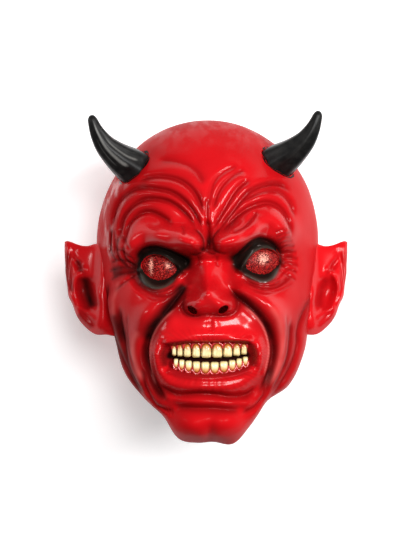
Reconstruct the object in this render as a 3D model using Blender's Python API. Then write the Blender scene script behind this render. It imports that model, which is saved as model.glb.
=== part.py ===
"""Full-head latex devil mask, face up on its back: +X is the wearer's left, +Y the crown, +Z the face.

One thin latex casting carries the face, ears, gums and teeth. Two horns are plugged into sockets in its
brow, and two domed eye lenses sit behind the lids. The neck end is cut off flat.
"""
import math

import bmesh
import bpy
import numpy as np
from mathutils import Matrix, Vector

MM = 0.001

# Driving sizes of the casting, in metres
HEAD_HEIGHT = 285 * MM
WALL = 3.0 * MM
GAP = 0.3 * MM

# Horns
HORN_BASE_RADIUS = 16.0 * MM
HORN_TIP_RADIUS = 3.4 * MM
HORN_REACH = 53.0 * MM
HORN_ROOT = 10.0 * MM

# Domed eye lenses, and how far the lids lap over their rims
LENS_WIDTH = 36.0 * MM
LENS_HEIGHT = 28.0 * MM
LENS_SIDE_LAP = 2.6 * MM
LENS_TOP_LAP = 3.4 * MM
LENS_BULGE = 7.5 * MM
LENS_WALL = 1.6 * MM

# Breathing holes in the nostrils
NOSTRIL_RADIUS = 2.8 * MM

# The face is carved in units that are one millimetre on a head 285 mm high
CARVED_HEIGHT = 285.0
UNIT = HEAD_HEIGHT / CARVED_HEIGHT

# Triangles kept in the carved skin, and in the cavity behind it
SKIN_TRIANGLES = 4100
CAVITY_TRIANGLES = 900

# Centre of the front view, and the head's outline round it: angle from +X in degrees, radius
CENTRE = (1.0, 15.0)
OUTLINE = (
    (0, 97), (22, 103.5), (42, 112), (60, 118.5), (80, 123), (98, 123), (115, 119.5), (135, 111),
    (155, 103.5), (175, 97.5), (200, 95), (222, 107), (234, 121), (246, 131), (255, 140), (261, 155),
    (267, 156.6), (272, 155.6), (278, 159), (284, 148), (292, 133), (303, 129.5), (315, 118), (338, 96),
)
# Height of that outline above the floor, where the head is widest as the front view sees it
OUTLINE_DEPTH = (
    (0, 104), (90, 104), (180, 104), (212, 116), (234, 138), (250, 163), (262, 180), (278, 180),
    (290, 163), (306, 138), (328, 116),
)
# The smoother outline that the back of the head closes to, running out into the neck
BACK_OUTLINE = (
    (0, 97), (45, 113), (90, 121), (135, 110), (180, 95), (225, 110), (250, 135), (270, 148), (290, 136),
    (315, 112),
)
FRONT_DEPTH = 195.0
FRONT_FULLNESS = 2.6
BACK_FULLNESS = ((0, 2.6), (90, 2.6), (180, 2.6), (225, 2.9), (270, 3.6), (315, 2.9))
# How much of the back of the head sags flat on the floor
SAG = 6.0

# Share of the carving that follows the head's own surface instead of the front view
FACE_LEAN = 0.3

# How far from its middle a crease stays rounded before it turns into a slope
CREASE_BOTTOM = 1.7

# Flat cut at the neck: two points of the plane, as (y, z)
NECK_FRONT = (-138.0, 165.0)
NECK_BACK = (-62.0, 8.0)


def eased(share):
    """0 to 1 with no corner at either end."""
    share = np.clip(share, 0.0, 1.0)
    return share * share * (3 - 2 * share)


def around(knots, degrees):
    """A smooth closed curve of value over angle, through (angle, value) knots."""
    angle = np.array([k[0] for k in knots], float)
    value = np.array([k[1] for k in knots], float)
    angle = np.concatenate([angle[-2:] - 360, angle, angle[:2] + 360])
    value = np.concatenate([value[-2:], value, value[:2]])
    slope = np.gradient(value, angle)
    degrees = np.mod(degrees, 360.0)
    low = np.clip(np.searchsorted(angle, degrees, side="right") - 1, 0, len(angle) - 2)
    width = angle[low + 1] - angle[low]
    t = (degrees - angle[low]) / width
    return (
        (2 * t**3 - 3 * t**2 + 1) * value[low]
        + (t**3 - 2 * t**2 + t) * width * slope[low]
        + (3 * t**2 - 2 * t**3) * value[low + 1]
        + (t**3 - t**2) * width * slope[low + 1]
    )


def smooth_path(points, samples=24):
    """Points along a Catmull-Rom curve through the given ones."""
    p = np.array(points, float)
    p = np.vstack([2 * p[0] - p[1], p, 2 * p[-1] - p[-2]])
    runs = []
    for a, b, c, d in zip(p[:-3], p[1:-2], p[2:-1], p[3:]):
        t = np.linspace(0, 1, samples, endpoint=False)[:, None]
        runs.append(0.5 * (2 * b + (c - a) * t + (2 * a - 5 * b + 4 * c - d) * t**2
                           + (3 * b - a - 3 * c + d) * t**3))
    return np.vstack(runs + [p[-2:-1]])


def beside(x, y, points):
    """Distance of each (x, y) from a smooth path, and how far along the path it is, 0 to 1."""
    path = smooth_path(points, 8)
    nearest = np.full(x.shape, np.inf)
    along = np.zeros(x.shape)
    for i, (start, end) in enumerate(zip(path[:-1], path[1:])):
        run = end - start
        t = ((x - start[0]) * run[0] + (y - start[1]) * run[1]) / max(run @ run, 1e-9)
        t = np.clip(t, 0, 1)
        away = np.hypot(x - start[0] - t * run[0], y - start[1] - t * run[1])
        closer = away < nearest
        nearest = np.where(closer, away, nearest)
        along = np.where(closer, (i + t) / (len(path) - 1), along)
    return nearest, along


def stroke(x, y, path, reach, shape):
    """shape(distance, share along) for the points within reach of a path, and nothing for the rest."""
    low, high = np.min(path, axis=0) - reach, np.max(path, axis=0) + reach
    near = (x > low[0]) & (x < high[0]) & (y > low[1]) & (y < high[1])
    h = np.zeros(x.shape)
    h[near] = shape(*beside(x[near], y[near], path))
    return h


def bump(x, y, at, radii, height, tilt=0.0, power=2.0):
    """A rounded swelling or, with a negative height, a hollow. A higher power gives it a flatter top."""
    c, s = math.cos(math.radians(tilt)), math.sin(math.radians(tilt))
    u = ((x - at[0]) * c + (y - at[1]) * s) / radii[0]
    v = ((y - at[1]) * c - (x - at[0]) * s) / radii[1]
    return height * np.exp(-((u * u + v * v) ** (power / 2)))


def roll(x, y, path, width, start, end):
    """A long rounded fold of flesh, from one height to another along its path."""
    return stroke(x, y, path, 3 * width, lambda away, along: (
        (start + (end - start) * along) * np.exp(-((away / width) ** 2))))


def crease(x, y, path, width, depth):
    """A valley between two rounded shoulders, fading out at both ends. Its width is to one side."""
    def valley(away, along):
        away = np.sqrt(away**2 + CREASE_BOTTOM**2) - CREASE_BOTTOM
        shoulders = 0.8 * np.exp(-((away / (3 * width)) ** 2))
        return depth * eased(along / 0.15) * eased((1 - along) / 0.15) * (shoulders - 1.7 * np.exp(-away / width))
    return stroke(x, y, path, 8 * width, valley)


# Broad forms: place, radii, height, tilt, power
BROAD = (
    # forehead, and the heads of the brows
    ((-38, 70), (40, 24), 6.0, -8, 2.0),
    ((50, 74), (38, 24), 6.0, 10, 2.0),
    ((-13.5, 32), (15.5, 10), 11.0, -34, 3.0),
    ((17, 31), (13.5, 9.5), 10.0, 27, 3.0),
    ((-24, 32), (22, 10.5), 9.0, -12, 4.0),
    ((28, 34), (20, 10.5), 9.0, 26, 4.0),
    # eye sockets, the eyeballs behind the lids, and the pits beside the nose
    ((-40, 8), (27, 16.5), -17.0, -3, 4.0),
    ((48, 12.5), (25, 16.5), -17.0, 5, 4.0),
    ((-39, 8), (21, 14.5), 11.5, -3, 3.0),
    ((47, 13), (19, 14.5), 11.5, 4, 3.0),
    ((-17, 12), (8, 8), -7.0, 0, 2.0),
    ((22, 13), (8, 8), -7.0, 0, 2.0),
    # cheeks
    ((-58, -24), (27, 21), 14.0, -28, 2.4),
    ((64, -20), (30, 21), 15.0, 22, 2.4),
    # muzzle, the hollow of the mouth in it, and the nose above it
    ((2.5, -66), (50.5, 47), 20.0, 0, 2.8),
    ((2.5, -67.5), (37, 15.5), -16.0, 2, 6.0),
    ((2, -19), (12, 12.5), 20.0, 0, 2.2),
    ((-10.5, -23.5), (9, 8), 13.0, 20, 2.6),
    ((16.5, -23), (9, 8.5), 13.0, -20, 2.6),
    # chin
    ((2, -126), (30, 17), 20.0, 0, 2.3),
    ((-39, -112), (11, 12), 8.0, 30, 2.0),
    ((42, -112), (11, 12), 8.0, -30, 2.0),
    ((-16, -124), (12, 11), 6.0, 10, 2.4),
    ((20, -122), (12, 11), 6.0, -10, 2.4),
    ((3, -136), (4, 11), -5.0, 0, 2.0),
    # hollows of the temples and under the cheekbones
    ((-88, 34), (9, 26), -4.0, 0, 2.0),
    ((92, 38), (9, 26), -4.0, 0, 2.0),
    ((-69, -56), (6, 18), -4.0, 5, 2.0),
    ((84, -54), (6, 20), -3.0, -8, 2.0),
)

# Rolls of flesh: path, width, height at its start and at its end
ROLLS = (
    # brows, and the edge of each over its eye
    (((-12, 29), (-24, 31.5), (-38, 35.5), (-52, 36.5), (-63, 28)), 10.5, 16, 11),
    (((14, 29), (25, 31.5), (35, 38), (44, 45.5), (54, 48), (66, 38)), 10.5, 15, 12),
    # bridge of the nose
    (((1.5, 27), (1, 10), (2, -10)), 9.5, 4, 17),
    # lids
    (((-58, 7), (-53, 14.5), (-47, 19.5), (-41, 20.5), (-35, 19), (-29, 15.5), (-24, 11), (-19, 6)), 2.6, 5, 5),
    (((-58, 6.5), (-53, 0), (-48, -5), (-41, -8), (-34, -7), (-28, -3.5), (-23, 1.5), (-19, 5.5)), 3.0, 4, 4),
    (((29, 6.5), (34, 14), (38, 20), (44, 25), (50, 27), (56, 25.5), (61, 20.5), (66, 13.5)), 2.6, 5, 5),
    (((29, 6), (35, 2.5), (40, 0), (46, -2), (52, -1.5), (58, 2), (62, 7), (66, 12.5)), 3.0, 4, 4),
    # lips
    (((-38, -70), (-39.5, -60), (-34, -51), (-15, -49), (3, -50.5), (20, -49), (37, -51), (43.5, -60), (43, -70)),
     5.5, 5, 5),
    (((-24, -42), (-8, -40), (3, -42), (14, -40), (30, -42)), 9, 2.5, 2.5),
    (((-38, -66), (-36, -80), (-24, -90), (2, -92), (26, -90), (40, -80), (43, -66)), 8, 8, 8),
    (((-30, -103), (-6, -104.5), (12, -105), (32, -106)), 4.5, 5, 5.5),
    # gums
    (((-31, -54.5), (-16, -54), (3, -54.5), (20, -53.5), (35, -52.5)), 2.8, 7, 7),
    (((-28, -78.5), (-14, -82.5), (3, -83.5), (20, -82), (34, -77.5)), 2.8, 7, 7),
    # folds outside the muzzle, from the nose round to the jaw
    (((-29, -13), (-43, -25), (-54, -39), (-59, -55), (-57, -73), (-51, -89), (-40, -104)), 8, 5, 7),
    (((30, -10), (45, -18), (57.5, -30), (64, -45), (63.5, -62), (58.5, -79), (48, -98)), 7, 6, 7),
    (((-80, -20), (-78, -50), (-69, -78), (-53, -102)), 6, 4, 4),
    (((88, -20), (86, -50), (78, -76), (60, -100)), 6, 4, 4),
)

# Creases deep enough to read from a step away: path, width, depth
CREASES = (
    # from the nose round the muzzle, and the second line where it turns in under the mouth
    (((-15, -5), (-22, -14), (-34, -30), (-45, -46), (-49, -58), (-48, -70), (-44, -83), (-38, -96), (-28, -107)),
     3.4, 7.5),
    (((17, -5), (25.5, -15.5), (36, -24.5), (45, -34), (52, -45), (56, -58), (55, -71), (50, -86), (41, -101)),
     3.4, 7.5),
    (((-52, -76), (-50, -88), (-44, -101), (-34, -111), (-24, -113)), 1.8, 3.5),
    (((55, -74), (51, -88), (46, -101), (38, -111), (28, -114.5)), 1.8, 3.5),
    # round the wings and under the nose
    (((-15, -12), (-19.5, -22), (-17, -30), (-9, -33), (2, -32), (14, -32.5), (23, -30), (27, -22.5), (23, -12)),
     2.0, 4),
    # brow gap and across the root of the nose
    (((1, 23), (2.5, 30), (2.5, 38), (1, 50)), 2.6, 6),
    (((1, 44), (0.5, 56), (1, 68)), 2.0, 2.5),
    (((-12, 21), (-4, 23.5), (4, 24), (13, 21.5)), 1.8, 2.6),
    # forehead folds
    (((-42, 101), (-28, 100), (-15, 96), (-7, 89), (-2, 78)), 3.4, 1.8),
    (((-58, 84), (-50, 85.5), (-40, 86.5), (-28, 85), (-18, 80.5), (-10, 73), (-5, 63), (-2, 50)), 2.8, 4),
    (((-82, 38), (-80, 52), (-74, 66), (-60, 76), (-42, 75.5), (-28, 72), (-16, 63), (-7, 50), (-2, 36)),
     2.5, 4.8),
    (((-74, 28), (-73, 42), (-69, 54), (-60, 63), (-48, 67), (-30, 64), (-16, 53), (-6, 38)), 2.4, 4.8),
    (((-69, 22), (-67.5, 36), (-65, 46), (-58, 53.5), (-48, 56), (-36, 51), (-26, 43)), 2.4, 4.5),
    (((2.5, 60), (4, 74), (8, 84), (16, 91), (28, 97)), 2.6, 2.4),
    (((5, 56), (9, 70), (15, 80), (24, 88), (34, 93)), 2.4, 2.8),
    (((5, 40), (11, 51), (17, 61), (23, 71), (30, 79), (38, 84)), 2.7, 3.8),
    (((8, 37), (16, 48), (23, 57), (30, 66), (38, 74), (50, 79), (62, 80), (74, 72)), 2.6, 4.5),
    (((10, 36), (20, 46), (28, 54), (38, 60), (50, 63.5), (60, 61), (67, 54), (71, 44), (72, 30)), 2.6, 4.8),
    (((30, 64), (42, 71), (54, 74), (64, 72), (72, 64), (77, 50)), 2.4, 3.4),
    (((20, 37), (30, 42), (37, 49), (43, 57)), 2.0, 3),
    # between the upper lids and the brows
    (((-61, 14), (-53, 23.5), (-42, 25.5), (-30, 22), (-20, 17), (-13, 12)), 2.0, 5),
    (((21, 13), (29, 21), (37, 29), (45, 32.5), (53, 31), (60, 26), (68, 17)), 2.0, 5),
    # under the eyes
    (((-68, 5), (-55, -7.5), (-41, -14.5), (-29, -13.5), (-19, -3)), 2.0, 3),
    (((30, 2), (39, -5.5), (48.5, -9), (59, -7), (75, 4)), 2.0, 3),
    # sides of the cheeks and jaw
    (((-84, 0), (-84, -26), (-78, -52), (-66, -80), (-48, -106)), 2.6, 4.5),
    (((92, -6), (82, -30), (78.5, -47), (78.5, -58), (74, -72), (66, -86), (50, -106)), 2.6, 4),
    (((-71, -22), (-71, -50), (-64, -78), (-49, -100)), 2.6, 4.2),
    (((70, -34), (70.5, -52), (68.5, -66), (63, -80), (52, -99)), 2.4, 3.6),
    # under the lower lip
    (((-38, -90), (-30, -95.5), (-20, -99), (-5, -98), (10, -99), (20, -101), (33, -99.5), (42, -91)), 2.4, 4.6),
    (((-26, -109), (-16, -110), (-4, -110.5), (8, -110.5), (18, -111.5), (28, -112.5)), 2.6, 2.2),
)


def relief(x, y):
    """How far the carved face stands out from the plain head, in units, seen from the front."""
    h = np.zeros(x.shape)
    for at, radii, height, tilt, power in BROAD:
        h += bump(x, y, at, radii, height, tilt, power)
    for path, width, start, end in ROLLS:
        h += roll(x, y, path, width, start, end)
    for path, width, depth in CREASES:
        h += crease(x, y, path, width, depth)
    return h


def plain_head(degrees, turn):
    """A point of the plain head. turn runs from 0 at the face to 1 at the outline and 2 at the back."""
    share = np.sin(turn * math.pi / 2)
    radius = around(OUTLINE, degrees)
    radius = (radius + (around(BACK_OUTLINE, degrees) - radius) * eased((turn - 1) / 0.6)) * share
    side = around(OUTLINE_DEPTH, degrees)
    front = side + (FRONT_DEPTH - side) * np.sqrt(np.clip(1 - share**FRONT_FULLNESS, 0, 1))
    back = side - (side + SAG) * np.sqrt(np.clip(1 - share ** around(BACK_FULLNESS, degrees), 0, 1))
    z = np.where(turn < 1, front, np.maximum(back, 0.0))
    a = np.radians(degrees)
    return np.stack([CENTRE[0] + radius * np.cos(a), CENTRE[1] + radius * np.sin(a), z], -1)


def plain_front(x, y):
    """Height of the plain head's front at one place of the front view."""
    x, y = x - CENTRE[0], y - CENTRE[1]
    degrees = math.degrees(math.atan2(y, x))
    share = math.hypot(x, y) / around(OUTLINE, degrees)
    side = around(OUTLINE_DEPTH, degrees)
    return float(side + (FRONT_DEPTH - side) * np.sqrt(np.clip(1 - share**FRONT_FULLNESS, 0, 1)))


def plain_normal(degrees, turn):
    """The outward normal there, by small steps round and along."""
    step, pace = 0.4, 0.004
    turn = np.clip(turn, 2 * pace, 2 - 2 * pace)
    round_it = plain_head(degrees + step, turn) - plain_head(degrees - step, turn)
    along_it = plain_head(degrees, turn + pace) - plain_head(degrees, turn - pace)
    n = np.cross(along_it, round_it)
    return n / np.linalg.norm(n, axis=-1, keepdims=True)


def sphere_grid(name, around_count, rows):
    """A closed sphere mesh, and each vertex's angle round the view axis and its turn from front to back."""
    mesh = bpy.data.meshes.new(name)
    bm = bmesh.new()
    bmesh.ops.create_uvsphere(bm, u_segments=around_count, v_segments=rows, radius=1)
    bm.to_mesh(mesh)
    bm.free()
    co = np.empty(len(mesh.vertices) * 3)
    mesh.vertices.foreach_get("co", co)
    co = co.reshape(-1, 3)
    degrees = np.degrees(np.arctan2(co[:, 1], co[:, 0]))
    turn = np.arccos(np.clip(co[:, 2], -1, 1)) / (math.pi / 2)
    return mesh, degrees, turn


def face_first(turn, share):
    """Gives the front that share of a sphere's rows."""
    t = turn / 2
    return np.where(t < share, t / share, 1 + (t - share) / (1 - share))


def carved(degrees, turn, inset=0.0, spread=0.0):
    """Points of the carved head, or of its hollow, which lies inset behind the deepest carving near it."""
    plain = plain_head(degrees, turn)
    normal = plain_normal(degrees, turn)
    x, y = plain[:, 0], plain[:, 1]
    h = relief(x, y)
    for k in range(8 if spread else 0):
        a = k * math.pi / 4
        h = np.minimum(h, relief(x + spread * math.cos(a), y + spread * math.sin(a)))
    h = h * eased((1.02 - turn) / 0.25)
    way = normal * FACE_LEAN + np.array([0, 0, 1 - FACE_LEAN])
    way /= np.linalg.norm(way, axis=-1, keepdims=True)
    return plain + way * h[:, None] - normal * inset


def place(mesh, points):
    mesh.vertices.foreach_set("co", (points * UNIT).ravel())
    mesh.update()


# Left ear as the front view sees it (the right one is its mirror): angle and radius round EAR_CENTRE
EAR_CENTRE = (-101.0, -9.0)
EAR_OUTLINE = (
    (0, 22), (40, 30), (70, 38), (84, 39), (94, 37), (108, 40.5), (116, 46), (119, 47.5), (123, 43), (134, 33),
    (150, 26), (170, 21.5), (200, 21), (227, 22.5), (245, 28), (261, 34), (277, 41), (290, 43.5), (299, 48),
    (312, 46), (335, 28),
)
EAR_THICKNESS = 4.5
EAR_FRONT = 127.0
EAR_SWEEP = 0.42
EAR_FORMS = (
    ((-105.5, -13), (6.5, 13), -10.0, 15, 3.0),
    ((-112.5, 11), (2.6, 8), -4.5, 32, 2.2),
    ((-95.5, -13), (4, 8), 3.5, 10, 2.0),
    ((-96, -40), (8, 6), 2.0, 0, 2.0),
)
EAR_ROLLS = (
    (((-107, 7), (-113, 1), (-116, -8), (-115.5, -18), (-111, -26), (-104, -30), (-99, -34)), 2.4, 3.8, 3.0),
    (((-121, 32), (-123, 10), (-120.5, -10), (-113, -29), (-101, -42)), 2.6, 3.0, 2.5),
    (((-116, 24), (-119.3, 8), (-118.5, -8), (-113.5, -24)), 1.5, -2.5, -2.0),
    (((-89, 34), (-89.5, 8), (-90.3, -20), (-91.5, -43)), 6.2, 10, 8),
)

# Left horn's centre line from its root, and how its thickness falls from root to tip
HORN_ROOT_AT = (-65.0, 97.0)
HORN_ROOT_PROUD = 7.7
HORN_LINE = (
    (0.0, 0.0, 0.0), (-11.0, 7.5, 9.0), (-21.5, 17.0, 16.0), (-28.3, 27.5, 20.5), (-32.2, 37.5, 22.5),
    (-33.4, 42.8, 22.5),
)
HORN_GROOVES = 6
HORN_GROOVE = 0.05
RIGHT_HORN_SHIFT = (-1.5, 3.6, 0.0)

# Middle of each lens's rim, how far it lies behind the plain face, and how it is turned
EYE_AT = {"left": (-39.0, 9.0), "right": (47.0, 14.0)}
EYE_SET_BACK = 12.0
EYE_YAW = {"left": -14.0, "right": 17.0}
EYE_ROLL = {"left": -9.0, "right": 11.0}

NOSTRILS = {"left": ((-11.5, -27.5), -38.0), "right": ((14.8, -27.0), 36.0)}

# Teeth across the mouth from the wearer's right: where each row starts, its gap, and each tooth's width
UPPER_TEETH = (-29.0, 0.5, (4.0, 4.9, 6.7, 7.2, 8.9, 8.9, 7.9, 6.3, 5.2))
LOWER_TEETH = (-27.5, 0.5, (4.0, 4.9, 5.8, 6.6, 7.4, 7.4, 7.2, 6.0, 5.0, 4.6))
# Height of a middle tooth, and how far the row's biting edge stands from the line of the bite
UPPER_BITE = (12.6, 1.7)
LOWER_BITE = (-10.2, -1.7)
BITE = -70.0
# How far the middle teeth stand out from the plain face
TEETH_PROUD = 16.3
TOOTH_DEPTH = 16.0


def material(name, colour, roughness, metallic=0.0):
    made = bpy.data.materials.new(name)
    made.use_nodes = True
    shader = made.node_tree.nodes["Principled BSDF"]
    shader.inputs["Base Color"].default_value = (*colour, 1)
    shader.inputs["Roughness"].default_value = roughness
    shader.inputs["Metallic"].default_value = metallic
    return made


def new_object(name, mesh, collection, finish=None):
    obj = bpy.data.objects.new(name, mesh)
    collection.objects.link(obj)
    if finish:
        mesh.materials.append(finish)
    return obj


def boolean(obj, other, operation):
    cut = obj.modifiers.new(f"{operation.lower()} {other.name}", "BOOLEAN")
    cut.operation = operation
    cut.object = other
    cut.solver = "EXACT"


def triangle_count(mesh):
    return sum(len(p.vertices) - 2 for p in mesh.polygons)


def thin_out(obj, triangles, before):
    """Collapses the flattest edges until about this many of the triangles before are left."""
    less = obj.modifiers.new("thin out", "DECIMATE")
    less.ratio = triangles / before
    less.use_collapse_triangulate = True


def head_solid(name, collection, finish):
    mesh, degrees, turn = sphere_grid(name, 208, 116)
    place(mesh, carved(degrees, face_first(turn, 0.74)))
    return new_object(name, mesh, collection, finish)


def cavity_solid(collection):
    """The hollow behind the face, one wall inside the carving."""
    mesh, degrees, turn = sphere_grid("cavity", 80, 44)
    place(mesh, carved(degrees, face_first(turn, 0.65), WALL / UNIT, 3.0))
    cavity = new_object("cavity", mesh, collection)
    thin_out(cavity, CAVITY_TRIANGLES, triangle_count(mesh))
    return cavity


def ear_solid(side, collection):
    """A pointed ear: one closed leaf whose front is carved."""
    mesh, degrees, turn = sphere_grid(f"ear_{side}", 56, 32)
    share = np.sin(turn * math.pi / 2)
    reach = around(EAR_OUTLINE, degrees) * share
    a = np.radians(degrees)
    x, y = EAR_CENTRE[0] + reach * np.cos(a), EAR_CENTRE[1] + reach * np.sin(a)
    middle = EAR_FRONT - EAR_THICKNESS + EAR_SWEEP * (x + 90) - 0.1 * y
    edge = np.sqrt(np.clip(1 - share**4, 0, 1))
    h = np.zeros(x.shape)
    for at, radii, height, tilt, power in EAR_FORMS:
        h += bump(x, y, at, radii, height, tilt, power)
    for path, width, start, end in EAR_ROLLS:
        h += roll(x, y, path, width, start, end)
    front = middle + (EAR_THICKNESS + h) * edge
    back = middle - (EAR_THICKNESS + np.maximum(-h, 0)) * edge
    z = np.where(turn < 1, front, back)
    if side == "right":
        x = -x
        mesh.flip_normals()
    place(mesh, np.stack([x, y, z], -1))
    return new_object(f"ear_{side}", mesh, collection)


def horn_solid(name, side, collection, finish=None, clearance=0.0):
    """A bent, tapering, lengthwise grooved horn with its root below the skin, or the cutter for its socket."""
    mesh, degrees, turn = sphere_grid(name, 24, 14)
    centre = smooth_path(np.array(HORN_LINE) * (HORN_REACH / UNIT / 53.0), 10)
    inward = (centre[0] - centre[3]) / np.linalg.norm(centre[0] - centre[3])
    centre = np.vstack([centre[:1] + inward * HORN_ROOT / UNIT, centre])
    run = np.concatenate([[0], np.cumsum(np.linalg.norm(np.diff(centre, axis=0), axis=1))])
    if clearance:
        run[0] -= 3 * clearance / UNIT
        run[-1] += 3 * clearance / UNIT
    # rows spread evenly from the root's flat end to the tip
    t = np.clip((turn - 0.14) / 1.72, 0, 1)
    s = run[0] + (run[-1] - run[0]) * t
    at = np.stack([np.interp(s, run, centre[:, i]) for i in range(3)], -1)
    ahead = np.stack([np.interp(s + 2, run, centre[:, i]) for i in range(3)], -1)
    behind = np.stack([np.interp(s - 2, run, centre[:, i]) for i in range(3)], -1)
    way = ahead - behind
    way /= np.linalg.norm(way, axis=1, keepdims=True)
    across = np.cross(way, (0, 0, 1))
    across /= np.linalg.norm(across, axis=1, keepdims=True)
    up = np.cross(across, way)
    slim = np.clip((s - HORN_ROOT / UNIT) / (run[-1] - HORN_ROOT / UNIT), 0, 1)
    base, tip = HORN_BASE_RADIUS / UNIT, HORN_TIP_RADIUS / UNIT
    radius = (base + (tip - base) * slim) * (1 - 0.4 * eased((slim - 0.93) / 0.07))
    a = np.radians(degrees)
    grooves = 1 - HORN_GROOVE * np.cos(HORN_GROOVES * a) * eased((1 - slim) / 0.3)
    radius = (radius * grooves + clearance / UNIT) * np.clip(np.minimum(turn, 2 - turn) / 0.14, 0, 1)
    root = np.array((*HORN_ROOT_AT, plain_front(*HORN_ROOT_AT) + HORN_ROOT_PROUD))
    points = root + at + across * (radius * np.cos(a))[:, None] + up * (radius * np.sin(a))[:, None]
    if side == "right":
        points[:, 0] = -points[:, 0]
        points += np.array(RIGHT_HORN_SHIFT)
        mesh.flip_normals()
    place(mesh, points)
    return new_object(name, mesh, collection, finish)


def eye_frame(side):
    x, y, z = (c * UNIT for c in (*EYE_AT[side], plain_front(*EYE_AT[side]) - EYE_SET_BACK))
    turned = Matrix.Rotation(math.radians(EYE_YAW[side]), 4, "Y")
    return Matrix.Translation((x, y, z)) @ turned @ Matrix.Rotation(math.radians(EYE_ROLL[side]), 4, "Z")


def lens_solid(name, side, collection, finish):
    """One domed lens: a half ellipsoid shell with an open back."""
    round_count, rows = 24, 5
    bm = bmesh.new()
    chain = []
    for inset, order in ((0.0, 1), (LENS_WALL, -1)):
        size = Vector((LENS_WIDTH / 2 - inset, LENS_HEIGHT / 2 - inset, LENS_BULGE - inset))
        rings = [[bm.verts.new((0, 0, size.z))]]
        for row in range(1, rows + 1):
            turn = row / rows * math.pi / 2
            rings.append([
                bm.verts.new((size.x * math.sin(turn) * math.cos(i / round_count * math.tau),
                              size.y * math.sin(turn) * math.sin(i / round_count * math.tau),
                              size.z * math.cos(turn)))
                for i in range(round_count)])
        chain += rings[::order]
    for low, high in zip(chain[:-1], chain[1:]):
        for i in range(round_count):
            if len(low) == 1:
                bm.faces.new((low[0], high[i], high[i - 1]))
            elif len(high) == 1:
                bm.faces.new((high[0], low[i - 1], low[i]))
            else:
                bm.faces.new((low[i], high[i], high[i - 1], low[i - 1]))
    bmesh.ops.recalc_face_normals(bm, faces=bm.faces)
    bmesh.ops.transform(bm, matrix=eye_frame(side), verts=bm.verts)
    mesh = bpy.data.meshes.new(name)
    bm.to_mesh(mesh)
    bm.free()
    return new_object(name, mesh, collection, finish)


def lens_pocket(side, collection):
    """Room for one lens behind its lids, open to the cavity."""
    mesh, degrees, turn = sphere_grid(f"lens_pocket_{side}", 28, 20)
    share = np.where(turn < 1, np.sin(turn * math.pi / 2), np.minimum((2 - turn) / 0.1, 1))
    a = np.radians(degrees)
    front = (LENS_BULGE + GAP) * np.cos(turn * math.pi / 2)
    z = np.where(turn < 1, front, -np.minimum((turn - 1) / 0.9, 1) * 14 * MM)
    x = (LENS_WIDTH / 2 + GAP) * share * np.cos(a)
    y = (LENS_HEIGHT / 2 + GAP) * share * np.sin(a)
    mesh.vertices.foreach_set("co", np.stack([x, y, z], -1).ravel())
    mesh.transform(eye_frame(side))
    return new_object(f"lens_pocket_{side}", mesh, collection)


def eye_opening(side, collection):
    """The almond cut through the lids."""
    mesh, degrees, turn = sphere_grid(f"eye_opening_{side}", 32, 4)
    share = np.minimum(np.minimum(turn, 2 - turn) / 0.5, 1)
    a = np.radians(degrees)
    x = (LENS_WIDTH / 2 - LENS_SIDE_LAP) * np.cos(a) * share
    y = (LENS_HEIGHT / 2 - LENS_TOP_LAP) * np.sin(a) * (0.68 + 0.32 * np.abs(np.sin(a))) * share
    z = np.where(turn < 1, 22 * MM, 1 * MM)
    mesh.vertices.foreach_set("co", np.stack([x, y, z], -1).ravel())
    mesh.transform(eye_frame(side))
    return new_object(f"eye_opening_{side}", mesh, collection)


def nostril(side, collection):
    (x, y), tilt = NOSTRILS[side]
    bm = bmesh.new()
    bmesh.ops.create_cone(bm, cap_ends=True, segments=16, radius1=NOSTRIL_RADIUS, radius2=NOSTRIL_RADIUS,
                          depth=90 * UNIT)
    stretched = Matrix.Rotation(math.radians(tilt), 4, "Z") @ Matrix.Diagonal((1.75, 1, 1, 1))
    bmesh.ops.transform(bm, matrix=Matrix.Translation((x * UNIT, y * UNIT, plain_front(x, y) * UNIT)) @ stretched,
                        verts=bm.verts)
    mesh = bpy.data.meshes.new(f"nostril_{side}")
    bm.to_mesh(mesh)
    bm.free()
    return new_object(f"nostril_{side}", mesh, collection)


def teeth(collection):
    """Both rows as rounded blocks set in the floor of the mouth."""
    bm = bmesh.new()
    front = plain_front(0.0, BITE) + TEETH_PROUD
    for (start, gap, widths), (height, edge) in ((UPPER_TEETH, UPPER_BITE), (LOWER_TEETH, LOWER_BITE)):
        left = start
        for width in widths:
            x = left + width / 2
            left += width + gap
            out = (x - 3) / 33
            tall = height * (1 - 0.24 * out * out)
            y = BITE + (3.6 + 0.8 * out) * out * out + edge * (1 - 0.5 * out * out) + tall / 2
            z = front - 6.0 * out * out - TOOTH_DEPTH / 2
            made = bmesh.ops.create_uvsphere(bm, u_segments=8, v_segments=4, radius=1)
            for v in made["verts"]:
                u = v.co.normalized()
                across = math.hypot(u.x, u.y)
                if across > 1e-6:
                    square = max(abs(u.x), abs(u.y)) / across
                    spread = across**0.5 / (0.35 + 0.65 * square)
                    v.co.x = u.x / across * spread * width / 2
                    v.co.y = u.y / across * spread * abs(tall) / 2
                v.co.z = math.copysign(abs(u.z) ** 0.7, u.z) * TOOTH_DEPTH / 2
                v.co = (v.co + Vector((x, y, z))) * UNIT
    mesh = bpy.data.meshes.new("teeth")
    bm.to_mesh(mesh)
    bm.free()
    return new_object("teeth", mesh, collection)


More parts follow.
